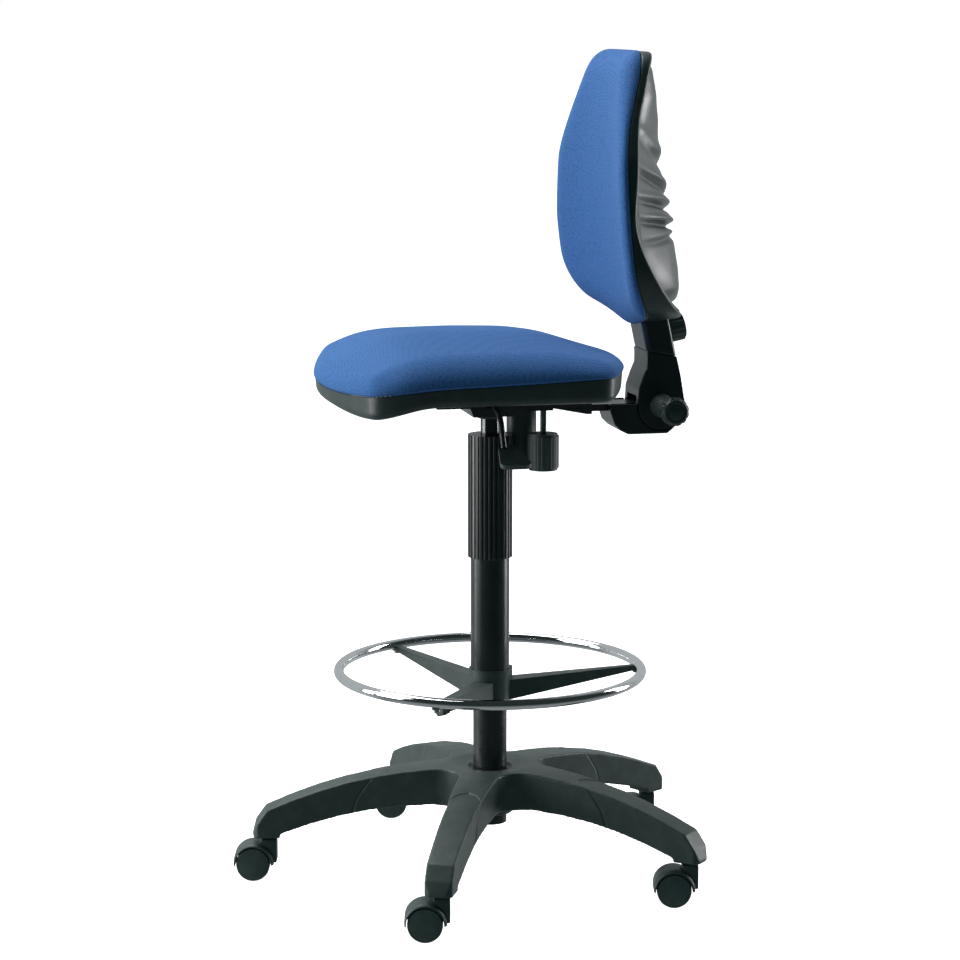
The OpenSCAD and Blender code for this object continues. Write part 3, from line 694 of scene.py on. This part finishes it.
def make_back_cushion(plan):
    """The pad: an even sheet bent round the backrest's axis, with its edge rolled over to the shell."""
    proud = 0.002
    reach = 0.036
    rim, normals = plan.rim, plan.normals

    def on_face(q, depth, n):
        behind = (plan.thick(q.y) - 0.002) * (1 - rounded(depth / reach))
        return Vector((q.x, plan.y_at(q.x, q.y, behind), q.y))

    rings = filled(rim, normals, 0.06, plan.middle, 5, plan.sheet(-0.003))[::-1]
    rings.append(ring_at(rim, normals, 0.006, plan.sheet(-0.002)))
    rings.append(ring_at(rim, normals, 0.0028, plan.sheet(0.0004)))
    rings.append(ring_at(rim, normals, -0.0008, plan.sheet(-0.0008)))
    for share in CUSHION_SHARES:
        rings.append(shrunk(rim, normals, plan.middle, share, proud, on_face))
    return loft("back_cushion_soft", rings)


def shell_rears(plan):
    """Y of the shell's rear edge at each point of the backrest's outline."""
    tree = skin_of("back_shell")
    count = len(plan.rim)
    rears = []
    for p, n in zip(plan.rim, plan.normals):
        q = p + n * 0.002
        met = hit(tree, (q.x, 1, q.y), (0, -1, 0))
        base = met.y if met else plan.y_at(q.x, q.y, 0.033)
        rears.append(base + 0.009 * step(q.y, 1.10, 1.19) - 0.0028 * bump(q.y, 0.98, 0.04))
    for _ in range(6):
        rears = [(rears[i - 1] + 2 * rears[i] + rears[(i + 1) % count]) / 4 for i in range(count)]
    return rears


def make_back_shell(plan):
    """The shell's rim: a lip behind the pad, a wall that is widest at the foot, and a rounded rear edge."""
    rim, normals = plan.rim, plan.normals
    rears = shell_rears(plan)

    def behind(inset, forward):
        ring = []
        for p, n, y in zip(rim, normals, rears):
            q = p + n * inset
            ring.append(Vector((q.x, y - forward, q.y)))
        return ring

    rings = filled(rim, normals, 0.06, plan.middle, 8, plan.sheet(0.0076))[::-1]
    rings.append(ring_at(rim, normals, 0.010, plan.sheet(0.0076)))
    rings.append(ring_at(rim, normals, 0.0096, plan.sheet(0.0012)))
    rings.append(ring_at(rim, normals, 0.0032, plan.sheet(0.0012)))
    rings.append(ring_at(rim, normals, 0.0010, plan.sheet(0.0006)))
    rings.append(ring_at(rim, normals, 0.0002, plan.sheet(0.0014)))
    rings.append(ring_at(rim, normals, 0.0, plan.sheet(0.0035)))
    rounding = [(0.0, 0.005), (0.0004, 0.0030), (0.0014, 0.0012), (0.0030, 0.0002), (0.0048, 0.0)]
    rounding += [(0.0064, 0.0012), (0.0070, 0.004)]
    for inset, forward in rounding:
        rings.append(behind(inset, forward))
    rings.append(ring_at(rim, normals, 0.0080, plan.sheet(0.0105)))
    rings += filled(rim, normals, 0.06, plan.middle, 8, plan.sheet(0.0105))
    return loft("back_shell_moulded", rings)


# Folds of the rear cover: height above its foot, droop towards the sides, depth and half-width, in metres
FOLDS = [
    (0.203, -0.50, 0.0045, 0.0085),
    (0.165, -0.36, 0.0060, 0.0062),
    (0.141, -0.22, 0.0070, 0.0050),
    (0.121, -0.10, 0.0090, 0.0048),
    (0.104, 0.02, 0.0045, 0.0050),
]

# The rear cover's outline as the camera sees it: height above the cover's foot, and how far forward of the
# CAD cover's rear it lies, in metres. It is full below, and falls back to the shell at the top.
COVER_PROFILE = [
    (0.000, 0.009), (0.013, 0.004), (0.032, 0.0015), (0.057, 0.004), (0.160, 0.023),
    (0.204, 0.033), (0.306, 0.040), (0.346, 0.047), (0.371, 0.062),
]
# How much further back a point shows to the camera for each metre that it lies to the sitter's left
VIEW_LEAN = math.tan(math.radians(90 - CAMERA_TURN))


def fold_depth(x, z, foot):
    """How far the cover is pulled in by its folds at a point of its rear view."""
    side = abs(x)
    total = 0.0
    for k, (rise, droop, deep, wide) in enumerate(FOLDS):
        wander = 0.006 * noise.noise(Vector((x * 14 + 5 * k, k * 3.1, 0)))
        line = foot + rise - droop * (side - 0.05) + wander
        share = (0.75 + 0.7 * bump(side, 0.085, 0.04)) * (1 - 0.7 * step(side, 0.12, 0.18))
        uneven = 1 + 0.35 * noise.noise(Vector((x * 9, k * 7.3, 2)))
        hollow = bump(z, line, wide) - 0.5 * bump(z, line + wide * 1.9, wide * 1.1)
        total += deep * share * uneven * hollow
    total += 0.0012 * noise.noise(Vector((x * 22, z * 40, 7)))
    return total


def tucked(rings):
    """A sheet with its border turned forwards, so that it ends inside the shell's rim."""
    inward_by, forward_by = 0.0032, 0.010
    middle = sum((p for ring in rings for p in ring), Vector()) / sum(len(ring) for ring in rings)

    def turned_in(p):
        away = Vector((p.x - middle.x, 0, p.z - middle.z)).normalized()
        beside = max(step(abs(p.x), 0.045, 0.06), step(p.z, middle.z - 0.05, middle.z))
        return p - away * inward_by - Vector((0, forward_by * beside, 0))

    wide = [[turned_in(ring[0])] + ring + [turned_in(ring[-1])] for ring in rings]
    first = [turned_in(p) for p in wide[0]]
    last = [turned_in(p) for p in wide[-1]]
    for end, ring in ((first, wide[0]), (last, wide[-1])):
        end[0], end[-1] = ring[0].copy(), ring[-1].copy()
    return [first] + wide + [last]


def relaxed(grid, rounds):
    """A grid of numbers with each inner one drawn towards its four neighbours."""
    last_row, last_column = len(grid) - 1, len(grid[0]) - 1
    for _ in range(rounds):
        grid = [
            [
                v
                if r in (0, last_row) or c in (0, last_column)
                else (grid[r - 1][c] + grid[r + 1][c] + grid[r][c - 1] + grid[r][c + 1] + 2 * v) / 6
                for c, v in enumerate(line)
            ]
            for r, line in enumerate(grid)
        ]
    return grid


def half_width(rim, z):
    """Half the width of an outline at height z."""
    half = 0.0
    for a, b in zip(rim, rim[1:] + rim[:1]):
        if (a.y - z) * (b.y - z) <= 0 and a.y != b.y:
            half = max(half, abs(a.x + (b.x - a.x) * (z - a.y) / (b.y - a.y)))
    return half


def make_back_cover(plan):
    """The soft rear cover: smooth above, gathered into folds over the upright, and full below."""
    low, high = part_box("back_cover")
    tree = skin_of("back_cover")
    inside_rim = 0.0062
    over_upright = 0.003
    rim = [p + n * inside_rim for p, n in zip(plan.rim, plan.normals)]
    top = max(p.y for p in rim)
    columns = 96
    rows = 190
    inset = 0.0012
    places = []
    depths = []
    for r in range(rows + 1):
        z = low.z + inset + (top - low.z - 2 * inset) * r / rows
        half = max(half_width(rim, z) - inset, 0.001)
        xs = [math.sin(math.pi * (c / columns - 0.5)) * half for c in range(columns + 1)]
        met = [hit(tree, (x, high.y + 0.1, z), (0, -1, 0)) for x in xs]
        known = [(abs(x), p.y) for x, p in zip(xs, met) if p]
        line = []
        for x, p in zip(xs, met):
            if p is None and known:
                line.append(min(known, key=lambda k: abs(k[0] - abs(x)))[1])
            else:
                line.append(p.y if p else low.y)
        places.append([(x, z) for x in xs])
        depths.append(line)
    depths = relaxed(depths, 16)
    sleeve = skin_of("upright_sleeve")
    rears = shell_rears(plan)

    def rim_y(x, z):
        spot = Vector((x, z))
        nearest = min(range(len(rears)), key=lambda i: (plan.rim[i] - spot).length_squared)
        return rears[nearest] - 0.0015

    feet = [rim_y(*line[columns]) for line in places]
    for _ in range(8):
        feet = [feet[0]] + [(a + 2 * b + c) / 4 for a, b, c in zip(feet, feet[1:], feet[2:])] + [feet[-1]]
    sheet = []
    for r, line in enumerate(places):
        cad_foot = depths[r][columns]
        foot = feet[r]
        aim = high.y - between(COVER_PROFILE, line[0][1] - low.z)
        lean = [(y - cad_foot, foot + VIEW_LEAN * x) for (x, z), y in zip(line, depths[r])]
        # The share of the CAD cover's bulge that brings this row to the outline, by halving
        low_share, high_share = 0.2, 1.3
        for _ in range(24):
            share = (low_share + high_share) / 2
            if max(a * share + b for a, b in lean) > aim:
                high_share = share
            else:
                low_share = share
        ring = []
        for (x, z), y in zip(line, depths[r]):
            over_sleeve = 1 - step(abs(x), 0.042, 0.058)
            closing = max(over_sleeve, rounded((z - low.z) / 0.02)) * rounded((top - z) / 0.012)
            ring.append(foot + max(0.0, y - cad_foot) * low_share * closing)
        sheet.append(ring)
    sheet = relaxed(sheet, 14)
    rings = []
    for r, line in enumerate(places):
        ring = []
        for c, (x, z) in enumerate(line):
            edge = rounded(min(c, columns - c) / 7) * rounded(min(r, rows - r) / 5)
            y = sheet[r][c] - fold_depth(x, z, low.z) * edge
            met = hit(sleeve, (x, high.y + 0.1, z), (0, -1, 0)) if abs(x) < 0.05 else None
            ring.append(Vector((x, max(y, met.y + over_upright) if met else y, z)))
        rings.append(ring)
    rings = tucked(rings)
    points = [p for ring in rings for p in ring]
    cover = build("back_cover_soft", points, lattice(rings, closed=False))
    cloth = cover.modifiers.new("Cloth thickness", "SOLIDIFY")
    cloth.thickness = 0.0014
    cloth.offset = -1
    return cover


# ---------- base and casters ----------

# The joint line on each arm: distance along the skin from the arm's ridge, and distance from the column
ARM_JOINT = [(0.0, 0.150), (0.012, 0.156), (0.024, 0.176), (0.050, 0.199), (0.075, 0.208), (0.12, 0.212)]


def make_star_base():
    """The moulded base, with the stepped joint line that runs round every arm."""
    base = remeshed("star_base_moulded", "star_base", 0.0017, 5)
    stems = [j["pos_m"] for j in frame["joints"] if j["name"].startswith("caster_swivel")]
    headings = [math.atan2(p[1], p[0]) for p in stems]
    bm = bmesh.new()
    bm.from_mesh(base.data)

    def on_arm(co):
        """A point's distance along the arm nearest to it, and its distance to that arm's side."""
        angle = math.atan2(co.y, co.x)
        near = min(headings, key=lambda h: abs((angle - h + math.pi) % (2 * math.pi) - math.pi))
        return co.x * math.cos(near) + co.y * math.sin(near), co.y * math.cos(near) - co.x * math.sin(near)

    def shown_band(face):
        r = on_arm(face.calc_center_median())[0]
        return 0.146 < r < 0.216 and face.normal.z > -0.4

    band = [f for f in bm.faces if shown_band(f)]
    edges = list({e for f in band for e in f.edges})
    bmesh.ops.subdivide_edges(bm, edges=edges, cuts=1, use_grid_fill=True)
    bm.normal_update()
    tops = {}
    for v in bm.verts:
        key = round(on_arm(v.co)[0], 3)
        tops[key] = max(tops.get(key, 0), v.co.z)
    for v in bm.verts:
        r, w = on_arm(v.co)
        if not 0.14 < r < 0.26 or v.normal.z < -0.5:
            continue
        skin = abs(w) + tops[round(r, 3)] - v.co.z
        past = r - between(ARM_JOINT, skin)
        groove = 0.0011 * bump(past, 0.0, 0.0014)
        ledge = 0.0006 * step(past, -0.0005, 0.0015) * (1 - step(past, 0.015, 0.05))
        v.co -= v.normal * (groove + ledge)
    bm.to_mesh(base.data)
    bm.free()
    base.data.polygons.foreach_set("use_smooth", [True] * len(base.data.polygons))
    return base


def caster_places():
    """For each caster, the matrix from its own frame (stem at the origin, trailing to +X) to the chair's."""
    joints = {j["name"]: j for j in frame["joints"]}
    out = []
    for k in CASTERS:
        stem = Vector(joints[f"caster_swivel_{k}"]["pos_m"])
        wheel = Vector(joints[f"wheel_left_spin_{k}"]["pos_m"])
        heading = math.atan2(wheel.y - stem.y, wheel.x - stem.x)
        out.append(Matrix.Translation((stem.x, stem.y, 0)) @ Matrix.Rotation(heading, 4, "Z"))
    return out


def caster_sizes():
    """The axle's distance from the stem, the wheel's radius and the hood's height, from the frame."""
    joints = {j["name"]: j for j in frame["joints"]}
    stem = Vector(joints["caster_swivel_1"]["pos_m"])
    axle = Vector(joints["wheel_left_spin_1"]["pos_m"])
    trail = (Vector((axle.x, axle.y)) - Vector((stem.x, stem.y))).length
    return trail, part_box("wheel_left_1")[1].z / 2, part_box("caster_hood_1")[1].z


def hood_shell(trail, wheel_r):
    """The half-round mudguard over both wheels, thin at its rims and rounded over its shoulders."""
    half = 0.0238
    outer, inner = 0.0306, wheel_r + 0.0014
    shoulder = 0.010
    rings = []
    steps = 36
    for k in range(steps + 1):
        angle = math.radians(-4 + 186 * k / steps)
        taper = 1 - 0.35 * (1 - step(math.degrees(angle), -4, 40))
        ring = []
        across = [-half + 2 * half * i / 14 for i in range(15)]
        for w in across:
            over = max(0.0, abs(w) - (half - shoulder)) / shoulder
            r = inner + (outer - inner) * taper * (0.32 + 0.68 * math.sqrt(max(0.0, 1 - over**2)))
            ring.append((r, w))
        ring += [(inner, w) for w in reversed(across)]
        cos, sin = math.cos(angle), math.sin(angle)
        rings.append([Vector((trail + r * cos, w, wheel_r + r * sin)) for r, w in ring])
    return loft("hood_shell", rings)


def slab(outline_xz, half, edge):
    """A flat-sided block from an (X, Z) outline, with its two long edges rounded."""
    middle = sum(outline_xz, Vector((0, 0))) / len(outline_xz)
    near = [(half, edge), (half - edge * 0.3, edge * 0.3), (half - edge, 0)]
    sections = [(-w, drawn) for w, drawn in near] + near[::-1]
    rings = []
    for w, drawn in sections:
        ring = []
        for p in outline_xz:
            away = (p - middle).normalized()
            q = p - away * drawn
            ring.append(Vector((q.x, w, q.y)))
        rings.append(ring)
    return loft("slab", rings)


def round_outline(points, radius, steps=5):
    """A convex outline with its corners rounded."""
    pts = [Vector(p) for p in points]
    out = []
    n = len(pts)
    for i in range(n):
        a, b, c = pts[i - 1], pts[i], pts[(i + 1) % n]
        u, v = (a - b).normalized(), (c - b).normalized()
        r = min(radius, (a - b).length * 0.45, (c - b).length * 0.45)
        for k in range(steps + 1):
            t = k / steps
            out.append((b + u * r) * (1 - t) ** 2 + b * 2 * t * (1 - t) + (b + v * r) * t**2)
    return out


def make_caster_hoods():
    """Each hood: mudguard, block round the stem, web between the wheels, and the stem's collar."""
    trail, wheel_r, top = caster_sizes()
    block = [
        (-0.0128, 0.026), (-0.004, 0.026), (0.004, 0.047),
        (0.0115, top - 0.004), (0.009, top - 0.0015), (-0.0128, top - 0.0015),
    ]
    web = [
        (0.006, 0.046), (0.006, 0.030), (0.012, 0.015), (0.022, 0.010),
        (0.034, 0.014), (0.040, 0.026), (0.034, 0.046), (0.02, 0.054),
    ]
    collar = [(0.0098, top - 0.012), (0.0098, top - 0.001), (0.0092, top), (0.0062, top)]
    for k, place_matrix in zip(CASTERS, caster_places()):
        parts = [hood_shell(trail, wheel_r)]
        parts.append(slab(round_outline(block, 0.002), 0.0148, 0.0016))
        parts.append(slab(round_outline(web, 0.006), 0.0094, 0.001))
        parts.append(turned("collar", collar, 40))
        hood = place(join(f"caster_hood_moulded_{k}", parts), place_matrix)
        finish(hood, f"caster_{k}", "black_nylon", f"caster_hood_{k}")


def make_wheels():
    """Twin wheels: a rounded tread, a raised rim and a slightly domed disc."""
    trail, wheel_r, _ = caster_sizes()
    inner, outer = 0.0100, 0.0245
    wide = outer - inner
    hub = [(0.0032, 0.0)]
    tread = [
        (wheel_r - 0.0016, 0.0), (wheel_r - 0.0004, 0.0005), (wheel_r, 0.0018),
        (wheel_r, wide - 0.0042), (wheel_r - 0.0004, wide - 0.0026), (wheel_r - 0.0014, wide - 0.0014),
    ]
    disc = [
        (wheel_r - 0.0028, wide - 0.0009), (wheel_r - 0.0034, wide - 0.0013),
        (wheel_r - 0.0040, wide - 0.0011), (wheel_r * 0.62, wide - 0.0005),
        (wheel_r * 0.3, wide - 0.0001), (0.0006, wide),
    ]
    profile = hub + tread + disc
    for k, place_matrix in zip(CASTERS, caster_places()):
        for side, sign in (("left", -1), ("right", 1)):
            wheel = turned(f"wheel_{side}_moulded_{k}", profile, 72)
            out = to_axis(Vector((trail, sign * inner, wheel_r)), Vector((0, sign, 0)))
            place(wheel, place_matrix @ out)
            finish(wheel, f"wheel_{side}_{k}", "black_wheel", f"wheel_{side}_{k}")


# ---------- foot ring ----------


def make_foot_ring():
    """The chromed tube, round in section and round in plan."""
    around, across = 288, 28
    low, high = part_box("foot_ring")
    tube = (high.z - low.z) / 2
    radius = (high.x - low.x) / 2 - tube
    height = (high.z + low.z) / 2
    rings = []
    for i in range(around):
        a = 2 * math.pi * i / around
        out = Vector((math.cos(a), math.sin(a), 0))
        ring = []
        for k in range(across):
            b = 2 * math.pi * k / across
            ring.append(out * (radius + tube * math.cos(b)) + UP * (height + tube * math.sin(b)))
        rings.append(ring)
    rings.append(rings[0])
    ring = build("foot_ring_tube", [p for r in rings for p in r], lattice(rings))
    return finish(ring, "foot_ring", "chrome_tube", "foot_ring")


def make_recline_knob():
    """The side knob: a slightly tapered grip with shallow flutes and a smooth round cap."""
    low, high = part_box("recline_knob")
    joint = next(j for j in frame["joints"] if j["child"] == BODY_OF["recline_knob"])
    start = Vector((low.x, joint["pos_m"][1], joint["pos_m"][2]))
    long = high.x - low.x
    radius = (high.z - low.z) / 2
    grip = radius * 0.9
    flutes = 12

    def flute(angle, r):
        if not grip * 0.93 < r < grip * 1.09:
            return r
        return r - 0.0011 * (0.5 + 0.5 * math.cos(flutes * angle)) ** 3

    neck = [(0.0085, 0.0), (radius * 0.6, 0.0), (radius * 0.68, 0.0012), (grip * 0.90, 0.0062)]
    body = [(grip * 0.965, 0.0075), (grip * 0.985, 0.0095), (grip * 1.0, 0.013)]
    body += [(grip * 1.04, long - 0.0095), (grip * 1.035, long - 0.0078), (grip * 1.0, long - 0.0066)]
    cap = [(grip * 0.92, long - 0.006), (grip * 0.915, long - 0.0045), (grip * 0.88, long - 0.0028)]
    cap += [(grip * 0.80, long - 0.0016), (grip * 0.66, long - 0.0011), (grip * 0.62, long - 0.0018)]
    cap += [(grip * 0.58, long - 0.0016), (grip * 0.5, long - 0.0009), (grip * 0.25, long - 0.0002)]
    profile = neck + body + cap + [(0.0006, long)]
    knob = turned("recline_knob_moulded", profile, 144, flute)
    place(knob, to_axis(start, Vector((1, 0, 0))))
    return finish(knob, BODY_OF["recline_knob"], "black_nylon", "recline_knob", look="black_shell")


# ---------- room, lights and camera ----------


def lamp(name, place_at, aim, size, power):
    """A white softbox, aimed at a point. The camera doesn't see it."""
    data = bpy.data.lights.new(name, "AREA")
    data.shape = "RECTANGLE"
    data.size, data.size_y = size
    data.energy = power
    obj = bpy.data.objects.new(name, data)
    bpy.context.scene.collection.objects.link(obj)
    obj.matrix_world = to_axis(Vector(place_at), Vector(place_at) - Vector(aim))
    obj.visible_camera = False
    return obj


def make_world():
    """Surroundings that are bright behind the chair, and dim and cool on the side of the main view.

    They look plain white to the camera. Mirror-like reflections see greyer ones than diffuse light does.
    """
    world = bpy.data.worlds.new("Studio")
    bpy.context.scene.world = world
    world.use_nodes = True
    tree = world.node_tree
    tree.nodes.clear()

    def add(kind, **values):
        made = tree.nodes.new(kind)
        for key, value in values.items():
            made.inputs[key.replace("_", " ")].default_value = value
        return made

    def link(a, b):
        tree.links.new(a, b)

    path = add("ShaderNodeLightPath")
    seen = add("ShaderNodeBackground", Color=(1, 1, 1, 1))
    around = add("ShaderNodeBackground")
    where = add("ShaderNodeTexCoord")
    axes = add("ShaderNodeSeparateXYZ")
    behind = add("ShaderNodeMapRange", From_Min=-0.6, From_Max=0.1, To_Min=1.0, To_Max=0.0)
    below = add("ShaderNodeMapRange", From_Min=-0.7, From_Max=-0.12, To_Min=0.5, To_Max=0.0)
    lit = tree.nodes.new("ShaderNodeMath")
    lit.operation = "MAXIMUM"
    colour = tree.nodes.new("ShaderNodeMix")
    colour.data_type = "RGBA"
    colour.inputs[6].default_value = (0.018, 0.088, 0.094, 1)
    colour.inputs[7].default_value = (0.8, 0.86, 0.9, 1)
    mirrored = tree.nodes.new("ShaderNodeMix")
    mirrored.data_type = "RGBA"
    mirrored.inputs[6].default_value = (0.02, 0.028, 0.028, 1)
    mirrored.inputs[7].default_value = (0.42, 0.45, 0.46, 1)
    choice = tree.nodes.new("ShaderNodeMix")
    choice.data_type = "RGBA"
    mix = add("ShaderNodeMixShader")
    out = add("ShaderNodeOutputWorld")
    link(where.outputs["Generated"], axes.inputs[0])
    link(axes.outputs["X"], behind.inputs["Value"])
    link(axes.outputs["Z"], below.inputs["Value"])
    link(behind.outputs["Result"], lit.inputs[0])
    link(below.outputs["Result"], lit.inputs[1])
    link(lit.outputs[0], colour.inputs["Factor"])
    link(lit.outputs[0], mirrored.inputs["Factor"])
    link(path.outputs["Is Glossy Ray"], choice.inputs["Factor"])
    link(colour.outputs[2], choice.inputs[6])
    link(mirrored.outputs[2], choice.inputs[7])
    link(choice.outputs[2], around.inputs["Color"])
    link(path.outputs["Is Camera Ray"], mix.inputs[0])
    link(around.outputs[0], mix.inputs[1])
    link(seen.outputs[0], mix.inputs[2])
    link(mix.outputs[0], out.inputs["Surface"])


def make_floor():
    """A plain pale floor. The surroundings stand in for the light that it would throw back."""
    reach = 40.0
    corners = [(-reach, -reach, 0), (reach, -reach, 0), (reach, reach, 0), (-reach, reach, 0)]
    floor = build("studio_floor", [Vector(c) for c in corners], [(0, 1, 2, 3)])
    f = Finish("pale_floor", (0.9, 0.9, 0.9), 0.8, Emission_Strength=1.0)
    f.shader.inputs["Emission Color"].default_value = (1, 1, 1, 1)
    f.colour(f.blended(f.noise(3.0, 3.0), (0.89, 0.89, 0.89), (0.92, 0.92, 0.92)))
    floor.data.materials.append(f.mat)
    floor.visible_diffuse = False
    floor.visible_glossy = False


def make_lights():
    """Softboxes left, right, above and behind, as the column's highlights show."""
    lamp("left_box", (0.1, -2.9, 1.2), (0, 0, 0.8), (1.2, 2.4), 46)
    lamp("left_rim", (-0.87, -2.66, 1.0), (0, 0, 0.8), (0.5, 2.4), 30)
    lamp("right_box", (-0.3, 2.9, 1.0), (0, 0, 0.75), (0.7, 2.4), 50)
    lamp("overhead", (-0.9, -0.8, 3.1), (0, 0, 0.7), (2.2, 2.2), 78)


def make_camera():
    """The camera's place, heading and lens, in metres, degrees and millimetres."""
    data = bpy.data.cameras.new("Camera")
    data.lens = 109.03
    data.sensor_width = 36.0
    data.clip_end = 60.0
    camera = bpy.data.objects.new("Camera", data)
    camera.location = (4.0988, -0.9238, 1.2801)
    camera.rotation_euler = (math.radians(90 - 9.304), 0, math.radians(CAMERA_TURN))
    bpy.context.scene.collection.objects.link(camera)
    bpy.context.scene.camera = camera
    bpy.context.scene.view_settings.view_transform = "Standard"


# ---------- the chair ----------


def make_chair():
    edge_round = 0.0008
    moulding_voxel, moulding_rounds = 0.0013, 5
    dress_cad_nodes()
    for obj in NODES.values():
        soften(obj, edge_round)
    seat = SeatPlan()
    cushion = finish(make_seat_cushion(seat), "seat", "blue_fabric", "seat_cushion")
    subdivide(cushion)
    finish(make_seat_shell(seat), "seat", "black_shell", "seat_shell")
    finish(make_seat_stitches(seat), "seat", "grey_acetal")
    back = BackPlan()
    pad = finish(make_back_cushion(back), "backrest", "blue_fabric", "back_cushion")
    subdivide(pad)
    finish(make_back_shell(back), "backrest", "black_shell", "back_shell")
    finish(make_back_cover(back), "backrest", "rear_vinyl", "back_cover")
    finish(make_star_base(), "base", "black_nylon", "star_base")
    make_caster_hoods()
    make_wheels()
    make_foot_ring()
    make_recline_knob()
    for node in ("upright_boot", "upright_sleeve", "bar_cover"):
        moulding = remeshed(node + "_moulded", node, moulding_voxel, moulding_rounds)
        finish(moulding, BODY_OF[node], "black_nylon", node, look="black_gloss")


make_camera()
make_world()
make_lights()
make_floor()
make_chair()

bpy.context.view_layer.update()
